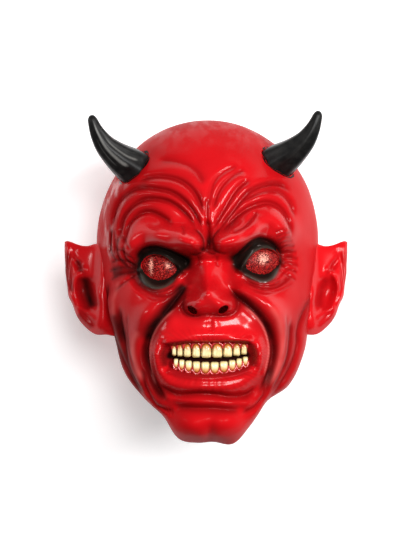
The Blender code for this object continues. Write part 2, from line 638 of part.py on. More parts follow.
def neck_cut(collection):
    """A block whose one face is the flat cut of the neck."""
    bm = bmesh.new()
    bmesh.ops.create_cube(bm, size=1)
    front, back = Vector((0, *NECK_FRONT)) * UNIT, Vector((0, *NECK_BACK)) * UNIT
    along = (front - back).normalized()
    outward = Vector((0, -along.z, along.y))
    size = Matrix.Diagonal((HEAD_HEIGHT * 1.2, HEAD_HEIGHT * 0.5, HEAD_HEIGHT * 1.6, 1))
    turned = Matrix((
        (1, 0, 0, 0), (0, -outward.y, along.y, 0), (0, -outward.z, along.z, 0), (0, 0, 0, 1)))
    middle = Matrix.Translation((front + back) / 2 + outward * HEAD_HEIGHT * 0.25)
    bmesh.ops.transform(bm, matrix=middle @ turned @ size, verts=bm.verts)
    bmesh.ops.recalc_face_normals(bm, faces=bm.faces)
    mesh = bpy.data.meshes.new("neck_cut")
    bm.to_mesh(mesh)
    bm.free()
    return new_object("neck_cut", mesh, collection)


def build():
    for obj in list(bpy.data.objects):
        bpy.data.objects.remove(obj)
    parts = bpy.data.collections.new("latex devil mask")
    cutters = bpy.data.collections.new("cutters")
    for collection in (parts, cutters):
        bpy.context.scene.collection.children.link(collection)
    red = material("red latex", (0.55, 0.012, 0.012), 0.3)
    black = material("black horn", (0.01, 0.01, 0.01), 0.4)
    glitter = material("red glitter", (0.4, 0.02, 0.02), 0.15)

    skin = head_solid("mask_skin", parts, red)
    carved_triangles = triangle_count(skin.data)
    for side in ("left", "right"):
        ear = ear_solid(side, cutters)
        carved_triangles += triangle_count(ear.data)
        boolean(skin, ear, "UNION")
    thin_out(skin, SKIN_TRIANGLES, carved_triangles)
    boolean(skin, teeth(cutters), "UNION")
    boolean(skin, cavity_solid(cutters), "DIFFERENCE")
    boolean(skin, neck_cut(cutters), "DIFFERENCE")
    for side in ("left", "right"):
        boolean(skin, lens_pocket(side, cutters), "DIFFERENCE")
        boolean(skin, eye_opening(side, cutters), "DIFFERENCE")
        boolean(skin, nostril(side, cutters), "DIFFERENCE")
        boolean(skin, horn_solid(f"horn_socket_{side}", side, cutters, clearance=GAP), "DIFFERENCE")
        horn_solid(f"horn_{side}", side, parts, black)
        lens_solid(f"eye_lens_{side}", side, parts, glitter)
    for obj in cutters.objects:
        obj.hide_render = True
        obj.display_type = "WIRE"


build()
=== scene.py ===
"""Latex devil mask, lying face up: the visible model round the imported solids, its stage, lights and camera.

Everything is in the frame of the solids: +Z out of the face, +Y towards the crown and +X to the right as the
face is looked at. Left and right are those of that front view. Its tables are in millimetres and degrees.
"""
import math

import bmesh
import bpy
import numpy as np
from mathutils import Matrix, Vector


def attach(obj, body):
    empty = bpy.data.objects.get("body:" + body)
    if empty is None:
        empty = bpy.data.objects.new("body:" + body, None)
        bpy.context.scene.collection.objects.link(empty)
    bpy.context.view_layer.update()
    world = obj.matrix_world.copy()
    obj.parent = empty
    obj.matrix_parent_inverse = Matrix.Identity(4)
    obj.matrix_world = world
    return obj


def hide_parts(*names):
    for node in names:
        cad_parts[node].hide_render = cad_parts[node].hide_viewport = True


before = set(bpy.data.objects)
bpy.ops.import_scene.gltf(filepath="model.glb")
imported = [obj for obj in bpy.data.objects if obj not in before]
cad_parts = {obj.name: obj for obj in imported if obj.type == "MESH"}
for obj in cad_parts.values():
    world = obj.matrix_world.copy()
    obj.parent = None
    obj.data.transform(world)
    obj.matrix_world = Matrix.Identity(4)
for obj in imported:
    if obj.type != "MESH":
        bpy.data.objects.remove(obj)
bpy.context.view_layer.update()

MM = 0.001
WALL = 3.0
# Between a glued-in piece and its seat
GAP = 0.3

# Centre of the front view, and the head's outline round it: angle from +X, radius
CENTRE = (1.0, 15.0)
OUTLINE = (
    (0, 97), (22, 103.5), (42, 112), (60, 118.5), (80, 123), (98, 123), (115, 119.5), (135, 111),
    (155, 103.5), (175, 97.5), (200, 95), (222, 107), (234, 121), (246, 131), (255, 140), (261, 155),
    (267, 156.6), (272, 155.6), (278, 159), (284, 148), (292, 133), (303, 129.5), (315, 118), (338, 96),
)
# Height of that outline round the head: angle, height
OUTLINE_DEPTH = (
    (0, 104), (90, 104), (180, 104), (212, 116), (234, 138), (250, 163), (262, 180), (278, 180),
    (290, 163), (306, 138), (328, 116),
)
# The outline that it closes to behind, and over which share of the turn
BACK_BLEND = 0.6
BACK_OUTLINE = (
    (0, 97), (45, 113), (90, 121), (135, 110), (180, 95), (225, 110), (250, 135), (270, 148), (290, 136),
    (315, 112),
)
# The plain head's height at the middle of the face, how full its front and back are, and how far the back
# is let down
FRONT_DEPTH = 195.0
FRONT_FULLNESS = 2.6
BACK_FULLNESS = ((0, 2.6), (90, 2.6), (180, 2.6), (225, 2.9), (270, 3.6), (315, 2.9))
SAG = 6.0
# Two points of the flat cut of the neck, (y, z), and the size of the block that makes it, in metres
NECK_FRONT = (-138.0, 165.0)
NECK_BACK = (-62.0, 8.0)
NECK_BLOCK = (0.34, 0.14, 0.45)

# Corners of each mesh, round it and from its front to its back
HEAD_GRID = (384, 216)
CAVITY_GRID = (120, 66)
EAR_GRID = (108, 58)
HORN_GRID = (120, 110)
SOCKET_GRID = (48, 40)
LENS_GRID = (96, 60)
POCKET_GRID = (64, 40)
OPENING_GRID = (96, 8)
NOSTRIL_GRID = (48, 8)
TOOTH_GRID = (48, 32)
GUM_SIDES = 10
# Share of the rows that the carved face takes, on the outside and in the hollow
FACE_SHARE = 0.78
HOLLOW_FACE_SHARE = 0.65
# How far from each point the hollow looks for the deepest carving
HOLLOW_SPREAD = 3.0

# Broad forms: place, radii, height, tilt, power
BROAD = (
    # forehead, and the heads of the brows
    ((-38, 70), (40, 24), 6.0, -8, 2.0),
    ((50, 74), (38, 24), 6.0, 10, 2.0),
    ((-13.5, 32), (15.5, 10), 11.0, -34, 3.0),
    ((17, 31), (13.5, 9.5), 10.0, 27, 3.0),
    ((-24, 32), (22, 10.5), 9.0, -12, 4.0),
    ((28, 34), (20, 10.5), 9.0, 26, 4.0),
    # eye sockets, the eyeballs behind the lids, and the pits beside the nose
    ((-40, 8), (27, 16.5), -17.0, -3, 4.0),
    ((48, 12.5), (25, 16.5), -17.0, 5, 4.0),
    ((-39, 8), (21, 14.5), 11.5, -3, 3.0),
    ((47, 13), (19, 14.5), 11.5, 4, 3.0),
    ((-17, 12), (8, 8), -7.0, 0, 2.0),
    ((22, 13), (8, 8), -7.0, 0, 2.0),
    # cheeks
    ((-58, -24), (27, 21), 14.0, -28, 2.4),
    ((64, -20), (30, 21), 15.0, 22, 2.4),
    # muzzle, the hollow of the mouth in it, and the nose above it
    ((2.5, -66), (50.5, 47), 20.0, 0, 2.8),
    ((2.5, -67.5), (37, 15.5), -16.0, 2, 6.0),
    ((2, -19), (12, 12.5), 20.0, 0, 2.2),
    ((-10.5, -23.5), (9, 8), 13.0, 20, 2.6),
    ((16.5, -23), (9, 8.5), 13.0, -20, 2.6),
    # chin
    ((2, -126), (30, 17), 20.0, 0, 2.3),
    ((-39, -112), (11, 12), 8.0, 30, 2.0),
    ((42, -112), (11, 12), 8.0, -30, 2.0),
    ((-16, -124), (12, 11), 6.0, 10, 2.4),
    ((20, -122), (12, 11), 6.0, -10, 2.4),
    ((3, -136), (4, 11), -5.0, 0, 2.0),
    # hollows of the temples and under the cheekbones
    ((-88, 34), (9, 26), -4.0, 0, 2.0),
    ((92, 38), (9, 26), -4.0, 0, 2.0),
    ((-69, -56), (6, 18), -4.0, 5, 2.0),
    ((84, -54), (6, 20), -3.0, -8, 2.0),
)

# Rolls of flesh: path, width, height at its start and at its end
ROLLS = (
    # brows, and the edge of each over its eye
    (((-12, 29), (-24, 31.5), (-38, 35.5), (-52, 36.5), (-63, 28)), 10.5, 16, 11),
    (((14, 29), (25, 31.5), (35, 38), (44, 45.5), (54, 48), (66, 38)), 10.5, 15, 12),
    # bridge of the nose
    (((1.5, 27), (1, 10), (2, -10)), 9.5, 4, 17),
    # lids
    (((-58, 7), (-53, 14.5), (-47, 19.5), (-41, 20.5), (-35, 19), (-29, 15.5), (-24, 11), (-19, 6)),
     2.6, 5, 5),
    (((-58, 6.5), (-53, 0), (-48, -5), (-41, -8), (-34, -7), (-28, -3.5), (-23, 1.5), (-19, 5.5)), 3.0, 4, 4),
    (((29, 6.5), (34, 14), (38, 20), (44, 25), (50, 27), (56, 25.5), (61, 20.5), (66, 13.5)), 2.6, 5, 5),
    (((29, 6), (35, 2.5), (40, 0), (46, -2), (52, -1.5), (58, 2), (62, 7), (66, 12.5)), 3.0, 4, 4),
    # lips
    (((-38, -70), (-39.5, -60), (-34, -51), (-15, -49), (3, -50.5), (20, -49), (37, -51), (43.5, -60),
      (43, -70)), 5.5, 5, 5),
    (((-24, -42), (-8, -40), (3, -42), (14, -40), (30, -42)), 9, 2.5, 2.5),
    (((-38, -66), (-36, -80), (-24, -90), (2, -92), (26, -90), (40, -80), (43, -66)), 8, 8, 8),
    (((-30, -103), (-6, -104.5), (12, -105), (32, -106)), 4.5, 5, 5.5),
    # gums
    (((-31, -54.5), (-16, -54), (3, -54.5), (20, -53.5), (35, -52.5)), 2.8, 7, 7),
    (((-28, -78.5), (-14, -82.5), (3, -83.5), (20, -82), (34, -77.5)), 2.8, 7, 7),
    # folds outside the muzzle, from the nose round to the jaw
    (((-29, -13), (-43, -25), (-54, -39), (-59, -55), (-57, -73), (-51, -89), (-40, -104)), 8, 5, 7),
    (((30, -10), (45, -18), (57.5, -30), (64, -45), (63.5, -62), (58.5, -79), (48, -98)), 7, 6, 7),
    (((-80, -20), (-78, -50), (-69, -78), (-53, -102)), 6, 4, 4),
    (((88, -20), (86, -50), (78, -76), (60, -100)), 6, 4, 4),
)

# Creases: path, width, depth, darkness of the brown along it, airbrush and painted shade
CREASES = (
    # from the nose round the muzzle, and the second line where it turns in under the mouth
    (((-15, -5), (-22, -14), (-34, -30), (-45, -46), (-49, -58), (-48, -70), (-44, -83), (-38, -96),
      (-28, -107)), 3.4, 7.5, 0.5),
    (((17, -5), (25.5, -15.5), (36, -24.5), (45, -34), (52, -45), (56, -58), (55, -71), (50, -86),
      (41, -101)), 3.4, 7.5, 0.5),
    (((-52, -76), (-50, -88), (-44, -101), (-34, -111), (-24, -113)), 1.8, 3.5, 0.3),
    (((55, -74), (51, -88), (46, -101), (38, -111), (28, -114.5)), 1.8, 3.5, 0.25),
    # round the wings and under the nose
    (((-15, -12), (-19.5, -22), (-17, -30), (-9, -33), (2, -32), (14, -32.5), (23, -30), (27, -22.5),
      (23, -12)), 2.0, 4, 0.35),
    # brow gap and across the root of the nose
    (((1, 23), (2.5, 30), (2.5, 38), (1, 50)), 2.6, 6, 0.2),
    (((1, 44), (0.5, 56), (1, 68)), 2.0, 2.5, 0.15),
    (((-12, 21), (-4, 23.5), (4, 24), (13, 21.5)), 1.8, 2.6, 0.25),
    # forehead folds
    (((-42, 101), (-28, 100), (-15, 96), (-7, 89), (-2, 78)), 3.4, 1.8, 0.2),
    (((-58, 84), (-50, 85.5), (-40, 86.5), (-28, 85), (-18, 80.5), (-10, 73), (-5, 63), (-2, 50)),
     2.8, 4, 0.3),
    (((-82, 38), (-80, 52), (-74, 66), (-60, 76), (-42, 75.5), (-28, 72), (-16, 63), (-7, 50), (-2, 36)),
     2.5, 4.8, 0.3),
    (((-74, 28), (-73, 42), (-69, 54), (-60, 63), (-48, 67), (-30, 64), (-16, 53), (-6, 38)), 2.4, 4.8, 0.3),
    (((-69, 22), (-67.5, 36), (-65, 46), (-58, 53.5), (-48, 56), (-36, 51), (-26, 43)), 2.4, 4.5, 0.3),
    (((2.5, 60), (4, 74), (8, 84), (16, 91), (28, 97)), 2.6, 2.4, 0.15),
    (((5, 56), (9, 70), (15, 80), (24, 88), (34, 93)), 2.4, 2.8, 0.2),
    (((5, 40), (11, 51), (17, 61), (23, 71), (30, 79), (38, 84)), 2.7, 3.8, 0.25),
    (((8, 37), (16, 48), (23, 57), (30, 66), (38, 74), (50, 79), (62, 80), (74, 72)), 2.6, 4.5, 0.3),
    (((10, 36), (20, 46), (28, 54), (38, 60), (50, 63.5), (60, 61), (67, 54), (71, 44), (72, 30)),
     2.6, 4.8, 0.3),
    (((30, 64), (42, 71), (54, 74), (64, 72), (72, 64), (77, 50)), 2.4, 3.4, 0.2),
    (((20, 37), (30, 42), (37, 49), (43, 57)), 2.0, 3, 0.2),
    # between the upper lids and the brows
    (((-61, 14), (-53, 23.5), (-42, 25.5), (-30, 22), (-20, 17), (-13, 12)), 2.0, 5, 0.9),
    (((21, 13), (29, 21), (37, 29), (45, 32.5), (53, 31), (60, 26), (68, 17)), 2.0, 5, 0.9),
    # under the eyes
    (((-68, 5), (-55, -7.5), (-41, -14.5), (-29, -13.5), (-19, -3)), 2.0, 3, 0.35),
    (((30, 2), (39, -5.5), (48.5, -9), (59, -7), (75, 4)), 2.0, 3, 0.25),
    # sides of the cheeks and jaw
    (((-84, 0), (-84, -26), (-78, -52), (-66, -80), (-48, -106)), 2.6, 4.5, 0.4),
    (((92, -6), (82, -30), (78.5, -47), (78.5, -58), (74, -72), (66, -86), (50, -106)), 2.6, 4, 0.3),
    (((-71, -22), (-71, -50), (-64, -78), (-49, -100)), 2.6, 4.2, 0.4),
    (((70, -34), (70.5, -52), (68.5, -66), (63, -80), (52, -99)), 2.4, 3.6, 0.25),
    # under the lower lip
    (((-38, -90), (-30, -95.5), (-20, -99), (-5, -98), (10, -99), (20, -101), (33, -99.5), (42, -91)),
     2.4, 4.6, 0.35),
    (((-26, -109), (-16, -110), (-4, -110.5), (8, -110.5), (18, -111.5), (28, -112.5)), 2.6, 2.2, 0.25),
)

# Fine wrinkles: path, width, depth, darkness of the brown along it, airbrush and painted shade
FINE_CREASES = (
    # corners of the eyes
    (((57, 38), (62, 40), (67, 41)), 0.9, 1.1, 0.2),
    (((58, 34), (64, 37), (70, 38)), 0.9, 1.2, 0.25),
    (((60, 31), (65, 34), (72, 34)), 0.9, 1.2, 0.25),
    (((61, 28), (67, 31), (74, 31)), 0.9, 1.2, 0.25),
    (((62, 24), (69, 27), (77, 27)), 0.9, 1.2, 0.25),
    (((64, 20), (71, 22), (79, 22)), 0.9, 1.2, 0.25),
    (((66, 16), (72, 17), (80, 16)), 0.9, 1.2, 0.25),
    (((66, 13), (73, 12), (80, 10)), 0.9, 1.2, 0.25),
    (((65, 10), (72, 7), (78, 4)), 0.9, 1.2, 0.25),
    (((63, 6), (70, 2), (76, -2)), 0.9, 1.1, 0.2),
    (((-60, 9), (-66, 13), (-74, 15), (-83, 13)), 1.0, 1.4, 0.4),
    (((-60, 7), (-67, 8.5), (-76, 8), (-85, 5)), 1.0, 1.4, 0.45),
    (((-60, 5), (-67, 4), (-75, 2), (-83, -3)), 1.0, 1.4, 0.4),
    (((-59, 3), (-65, -1), (-71, -6), (-77, -12)), 1.0, 1.2, 0.35),
    (((-61, 12), (-65, 18), (-71, 23), (-78, 25)), 1.0, 1.3, 0.35),
    (((-63, 24), (-67, 31), (-73, 36)), 1.0, 1.1, 0.25),
    (((-84, 20), (-83, 34), (-85, 48)), 1.0, 1.1, 0.25),
    (((-79, 18), (-78, 30), (-79, 42)), 1.0, 1.1, 0.25),
    # bags under the eyes
    (((-58, -4), (-47, -11), (-35, -11.5), (-25, -5)), 0.9, 1.0, 0.3),
    (((35, -3), (45, -6.5), (55, -6.5), (64, -1)), 0.9, 1.0, 0.25),
    (((-64, -2), (-54, -12), (-41, -18.5), (-30, -18)), 1.1, 1.2, 0.15),
    (((37, -10), (48, -13), (60, -11), (74, -3)), 1.1, 1.2, 0.1),
    # round the inner ends of the brows
    (((-16, 20), (-9, 19.5), (-4, 21.5), (-1.8, 26), (-2, 31.5), (-5, 37), (-11, 42)), 1.3, 2.8, 0.45),
    (((20, 20.5), (13, 21), (8, 23), (5.8, 27.5), (5.6, 32.5), (8.5, 38), (13, 42.5)), 1.3, 2.6, 0.4),
    # the forehead folds run down to the corners of the eyes
    (((-81, 44), (-83.5, 32), (-82, 21), (-76, 13)), 1.5, 2.2, 0.4),
    (((-74.5, 36), (-76.5, 25), (-73.5, 15), (-67, 9)), 1.5, 2.6, 0.45),
    (((-69, 28), (-69.5, 19), (-65.5, 12), (-61, 9)), 1.4, 2.4, 0.4),
    # hooks in the brows and the root of the nose
    (((-21, 44), (-18.5, 40), (-18, 35)), 1.2, 1.6, 0.2),
    (((-7, 19), (-6, 15), (-8, 10)), 1.1, 1.4, 0.2),
    (((9, 19), (9, 14), (11, 9)), 1.1, 1.4, 0.2),
    (((-6, 25), (-1, 23), (4, 20.5), (9, 20)), 1.2, 1.6, 0.35),
    # the groove under the nose, and the lips
    (((4, -33), (4, -39), (4, -46)), 2.6, 1.3, 0.1),
    (((-8, -84), (-8.5, -89), (-9, -93)), 1.0, 0.5, 0.05),
    (((1, -85), (1, -90), (1, -94)), 1.0, 0.5, 0.05),
    (((9, -84), (9.5, -89), (10, -93)), 1.0, 0.5, 0.05),
    # beside the main folds of the cheeks
    (((-63, -30), (-66, -46), (-64, -62), (-57, -80)), 1.2, 1.2, 0.2),
    (((65, -30), (66.5, -45), (65, -60), (60, -74)), 1.2, 1.0, 0.15),
    (((-43, -62), (-43, -72), (-40, -83)), 1.0, 1.0, 0.15),
    (((46.5, -58), (46, -70), (43, -82)), 1.0, 1.0, 0.1),
)

# Thin ridges: path, width, height
FINE_RIDGES = (
    # the pale rims inside the folds round the muzzle
    (((-16, -16), (-24, -25), (-34, -34), (-41, -44), (-45, -55), (-45.5, -66), (-44.5, -78), (-41, -92)),
     1.6, 2.6),
    (((22, -16), (31, -23), (40, -31.5), (46.5, -40.5), (50.5, -50), (52, -60), (50.5, -71), (47, -82)),
     1.6, 2.6),
    # a dip and a wrinkle across the root of the nose
    (((-6, 15), (1.5, 14), (9, 15)), 3.2, -2.0),
    # the knobs at the inner ends of the brows
    (((-17, 30), (-9, 27.5)), 6.5, 1.4),
    (((21, 31.5), (13, 29)), 6.5, 1.6),
    # folds under the eyes
    (((31, 1), (38, -3.5), (46, -6.2), (55, -5.5), (63, -0.5), (70, 5), (77, 8)), 1.1, 1.5),
    (((-56, -4), (-48, -11.5), (-39, -13), (-29, -9)), 1.1, 1.2),
)
# Rims of the lids, likewise
LID_RIMS = (
    (((-57, 5), (-53, 13), (-46, 17.5), (-40, 18), (-33, 16), (-26, 10.5)), 1.0, 1.2),
    (((-57, 4), (-51, -4), (-43, -8.5), (-34, -7), (-26, 0)), 1.2, 1.4),
    (((31, 9), (37, 18), (44, 23.5), (51, 25.5), (58, 22), (63, 14)), 1.0, 1.2),
    (((31, 4), (39, 0), (48, -3), (56, 0), (63, 10)), 1.2, 1.4),
)

# Share of the carving that follows the head's own normal instead of the view
FACE_LEAN = 0.3
# A crease of depth and width 1: how round its bottom is, in millimetres, how far it drops below its
# shoulders, how high and wide those are, and the share of its length over which it fades in and out
CREASE_ROUNDING = 0.7
CREASE_DROP = 1.7
SHOULDER_HEIGHT = 0.8
SHOULDER_WIDTH = 3
CREASE_FADE = 0.15
# Turn, from 0 at the face to 1 at the outline, where the carving ends, and over how much it fades
CARVING_END = 1.02
CARVING_FADE = 0.25

# The left ear; the right one is its mirror image
EAR_CENTRE = (-101.0, -9.0)
EAR_OUTLINE = (
    (0, 22), (40, 30), (70, 38), (84, 39), (94, 37), (108, 40.5), (116, 46), (119, 47.5), (123, 43),
    (134, 33), (150, 26), (170, 21.5), (200, 21), (227, 22.5), (245, 28), (261, 34), (277, 41), (290, 43.5),
    (299, 48), (312, 46), (335, 28),
)
EAR_THICKNESS = 4.5
EAR_FRONT = 127.0
EAR_ROOT = -90
EAR_SWEEP = 0.42
EAR_DROOP = 0.1
EAR_FORMS = (
    ((-105.5, -13), (6.5, 13), -10.0, 15, 3.0),
    ((-112.5, 11), (2.6, 8), -4.5, 32, 2.2),
    ((-95.5, -13), (4, 8), 3.5, 10, 2.0),
    ((-96, -40), (8, 6), 2.0, 0, 2.0),
)
EAR_ROLLS = (
    (((-107, 7), (-113, 1), (-116, -8), (-115.5, -18), (-111, -26), (-104, -30), (-99, -34)), 2.4, 3.8, 3.0),
    (((-121, 32), (-123, 10), (-120.5, -10), (-113, -29), (-101, -42)), 2.6, 3.0, 2.5),
    (((-116, 24), (-119.3, 8), (-118.5, -8), (-113.5, -24)), 1.5, -2.5, -2.0),
    (((-89, 34), (-89.5, 8), (-90.3, -20), (-91.5, -43)), 6.2, 10, 8),
)

# The left horn: its root and its middle line from there. The right one is its mirror image, shifted a little
HORN_ROOT_AT = (-65.0, 97.0)
HORN_ROOT_PROUD = 7.7
HORN_LINE = (
    (0.0, 0.0, 0.0), (-11.0, 7.5, 9.0), (-21.5, 17.0, 16.0), (-28.3, 27.5, 20.5), (-32.2, 37.5, 22.5),
    (-33.4, 42.8, 22.5),
)
HORN_BASE_RADIUS = 16.0
HORN_TIP_RADIUS = 3.4
HORN_ROOT = 10.0
# Number of grooves, their depth as share of the radius, and the share of the length where they run out
HORN_GROOVES = 6
HORN_GROOVE = 0.05
GROOVE_FADE = 0.3
# Share of its rows in each rounded end, where the tip begins to round off, and how far it closes
HORN_CAP = 0.14
HORN_ROUND_FROM = 0.93
HORN_ROUNDING = 0.84
RIGHT_HORN_SHIFT = (-1.5, 3.6, 0.0)
# The black paint at a horn's foot: how far up and down it counts from, and how far out it reaches
HORN_FOOT = 12
HORN_PAINT_REACH = 8.0
# How far a streak of painted highlight wanders round the horn, how often, and how it fades at its ends
STREAK_WANDER = 8
STREAK_WAVES = 5
STREAK_FADE_IN = 0.12
STREAK_FADE_OUT = 0.2
# Strength of the painted highlights on each horn
HORN_HIGHLIGHT = {"left": 1.0, "right": 0.3}
# Painted grey highlights along a horn: angle round it, 90 at its front, width, where it starts and ends,
# strength
HORN_HIGHLIGHT_STREAKS = (
    (92, 9, 0.12, 1.0, 1.0), (58, 7, 0.02, 0.75, 0.8), (118, 5, 0.2, 0.8, 0.5), (142, 5, 0.05, 0.6, 0.5),
    (35, 5, 0.05, 0.6, 0.4),
)

# An eye's dome: half its width, half its height, and how far it bulges
LENS_SIZE = (18.0, 14.0, 7.5)
LENS_WALL = 1.6
# The lids' opening is an almond: how far its edge is inside that of the dome, to the sides and above, and how
# high it is near its corners, as share of an oval
LENS_LAP = (2.6, 3.4)
ALMOND = 0.68
# How far its cutter and the one of the eye's seat run, counted from the back of the dome, and the share of
# the seat's rows in its flat end
OPENING_TOP = 22
OPENING_FLOOR = 1
POCKET_DEPTH = 14
POCKET_END = 0.1
# Each eye's place, how far behind the plain head it is seated, and how it is turned outwards and rolled
EYE_AT = {"left": (-39.0, 9.0), "right": (47.0, 14.0)}
EYE_SET_BACK = 12.0
EYE_YAW = {"left": -14.0, "right": 17.0}
EYE_ROLL = {"left": -9.0, "right": 11.0}

# Painted glints, lighter and faintly glowing flakes where the glitter is lit: place on the lens, radii,
# strength, tilt
PAINTED_GLINTS = {
    "left": (((-6.5, 0), (2.0, 6.5), 0.9, 8), ((8, 2.5), (3.2, 2.2), 0.85, -35)),
    "right": (((0.5, 2), (4.6, 4.4), 1.1, 0),),
}

# A nostril's half height, its width for that, and how far the cutter reaches; then each one's place and tilt
NOSTRIL_RADIUS = 2.8
NOSTRIL_STRETCH = 1.75
NOSTRIL_REACH = 45
NOSTRILS = {"left": ((-11.5, -27.5), -38.0), "right": ((14.8, -27.0), 36.0)}

# Each row: its left end, the gap between its teeth and their widths, then their height and how far they
# clear the bite
UPPER_TEETH = (-29.0, 0.5, (4.0, 4.9, 6.7, 7.2, 8.9, 8.9, 7.9, 6.3, 5.2))
LOWER_TEETH = (-27.5, 0.5, (4.0, 4.9, 5.8, 6.6, 7.4, 7.4, 7.2, 6.0, 5.0, 4.6))
UPPER_BITE = (12.6, 1.7)
LOWER_BITE = (-10.2, -1.7)
BITE = -70.0
TEETH_MIDDLE = 3
TEETH_REACH = 33
# What a tooth at the end of its row loses: height, room to the bite, and how far forward it stands
END_SHORTER = 0.24
END_CLOSER = 0.5
END_SET_BACK = 6.0
# The rows rise towards their ends, a little more on the right
ROW_RISE = 3.6
ROW_RISE_RIGHT = 0.8
TEETH_PROUD = 16.3
TOOTH_DEPTH = 16.0
# A tooth: number and depth of its grooves, how square it is at the bite and how much less at the gum, where
# that changes and how fast, and how full its sides and its front are
TOOTH_GROOVES = 3
TOOTH_GROOVE = 0.12
BITE_SQUARE = 5.0
GUM_ROUNDER = 2.9
ROUND_FROM = 0.35
ROUND_PACE = 1.4
TOOTH_SIDES = 0.4
TOOTH_FRONT = 0.7
# The rim of gum round a tooth: its radius, how far it is behind the tooth and past its sides, and half of its
# arch as share of the half width, inset and rise, its top, and how much deeper than wide the rim is
GUM_RIM = 1.15
GUM_BEHIND = 1.3
GUM_OVER = 0.3
GUM_ARCH = ((1.0, 0.0, -4.8), (1.0, 0.3, -2.2), (0.55, 0.0, -0.2))
GUM_TOP = 0.7
GUM_DEEPER = 1.2

# Broad brown strokes, airbrush and painted shade: path, width, strength
SPRAY_AND_SHADE_STROKES = (
    (((-17, -4), (-23, -14), (-33, -28), (-43, -42), (-50, -56)), 5.5, 0.97),
    (((26, -12), (36, -21), (45, -31.5), (52, -43), (56, -57)), 3.2, 0.6),
    (((-50, -54), (-50, -68), (-47, -82), (-40, -96), (-32, -108)), 3.0, 0.42),
    (((56, -54), (55, -68), (50, -84), (42, -100)), 2.2, 0.25),
    (((-77, -30), (-73.5, -42), (-69, -56)), 4.0, 0.55),
    (((-67, -50), (-65, -72), (-55, -94)), 3.2, 0.28),
    (((-84, -4), (-85, -26), (-80, -50), (-68, -80)), 5.0, 0.3),
    (((70, -38), (70, -58), (65, -80)), 3.4, 0.28),
    (((-30, 12), (-18, 2), (-14, -8)), 5.0, 0.45),
    (((24, 12), (23, 2), (20, -8)), 5.0, 0.35),
    # corners of the mouth, and between the lip and the chin
    (((-32, -57), (-34.5, -66), (-32, -76)), 3.5, 0.75),
    (((37, -55), (39, -65), (36, -76)), 3.5, 0.6),
    (((-26, -110), (0, -112), (28, -112)), 3.5, 0.3),
    # the crow's feet, darkest beside the eyes
    (((-60, 6), (-68, 7), (-82, 4)), 6.0, 0.75),
    (((64, 20), (70, 20), (76, 20)), 8.0, 0.3),
)
# Share of a crease's width and strength in the line and in the haze round it
LINE_WIDTH = 0.8
HAZE_WIDTH = 2.4
HAZE_STRENGTH = 0.6
# A painted line fades in and out over this share of its length
STROKE_FADE = 0.12
# Painted highlights, a paler red along the rims of the folds and over the cheeks: path, width, strength
PAINTED_HIGHLIGHT_STROKES = (
    (((-24, -25), (-34, -34), (-41, -44), (-45, -55), (-45.5, -66), (-44.5, -78), (-41, -92)), 0.9, 0.6),
    (((31, -23), (40, -31.5), (46.5, -40.5), (50.5, -50), (52, -60), (50.5, -71), (47, -82)), 0.9, 0.7),
    (((50, -22), (59, -36), (63, -54), (60, -74), (50, -93)), 2.4, 0.4),
    (((-61, -58), (-58.5, -70), (-53, -84)), 1.6, 0.3),
    (((-54, -44), (-60, -56), (-58, -72), (-51, -88)), 2.2, 0.4),
    (((-74, -2), (-76, -20), (-76, -34)), 1.6, 0.3),
)
# Small sprayed shadows: place, radii, strength, tilt
SHADOWS = (
    # brow gap, nostrils, and the corners of the eyes beside the nose
    ((2.6, 31), (2.6, 5), 0.95, 0),
    ((-12, -27.5), (7, 4), 0.7, -38),
    ((15.5, -27), (7, 3.6), 0.65, 36),
    ((22, 17), (5, 5), 0.6, 0),
    ((-15, 10), (5, 5), 0.6, 0),
    # hollow of the left cheek, and under the chin
    ((-73, -46), (5, 11), 0.45, 8),
    ((2, -140), (30, 6), 0.3, 0),
)
# Airbrushed shadows of the left ear: path, width, strength
EAR_SPRAY_AND_SHADE = (
    (((-106, 2), (-104, -12), (-98, -28)), 6.0, 0.95),
    (((-113, 16), (-109, 5)), 3.0, 0.75),
    (((-121, 24), (-121.5, 4), (-117, -14)), 3.2, 0.6),
    (((-113, -32), (-105, -36), (-98, -44)), 5.0, 0.45),
)
# How much of that each ear gets: the left ear is painted darker, as painted shade
EAR_SHADE = {"left": 1.0, "right": 0.35}
# Outlines of what is painted by hand, and of the painted shade in the mouth, and how soft their edges are
EYE_BLACK_EDGE = 6
MOUTH_EDGE = 3
LIPS_EDGE = 8
TEMPLE_EDGE = 12
LEFT_EYE_BLACK = ((-62, 12), (-58, 20), (-48, 26), (-36, 26), (-24, 21), (-13, 17), (-14, 9), (-22, 2),
                  (-28, -6), (-40, -11), (-52, -8), (-60, 0))
RIGHT_EYE_BLACK = ((22, 18), (32, 24), (42, 33), (54, 31), (64, 22), (66, 12), (60, 1), (50, -5), (40, -3),
                   (30, 3), (23, 9))
THROAT = ((-34, -64.5), (-28, -66.5), (-18, -69), (3, -70.3), (20, -69), (31, -66.5), (38, -63))
MOUTH = ((-33, -60), (-30, -54), (-20, -52), (0, -54), (20, -53), (34, -53), (39, -60), (37, -72), (28, -82),
         (2, -85), (-20, -84), (-30, -77))
TEMPLE = ((-92, 40), (-88, 66), (-76, 84), (-66, 76), (-74, 52), (-78, 26), (-86, 18))
LIPS = ((-46, -66), (-42, -52), (-28, -44), (0, -44), (30, -44), (47, -52), (50, -66), (42, -84), (24, -95),
        (0, -96), (-22, -94), (-38, -84))
# Black line between the rows of teeth, and the pale grey line on the lids, their own grey and painted
# highlight
THROAT_WIDTH = 3.2
THROAT_STRENGTH = 1.6
LID_LINE = 1.5
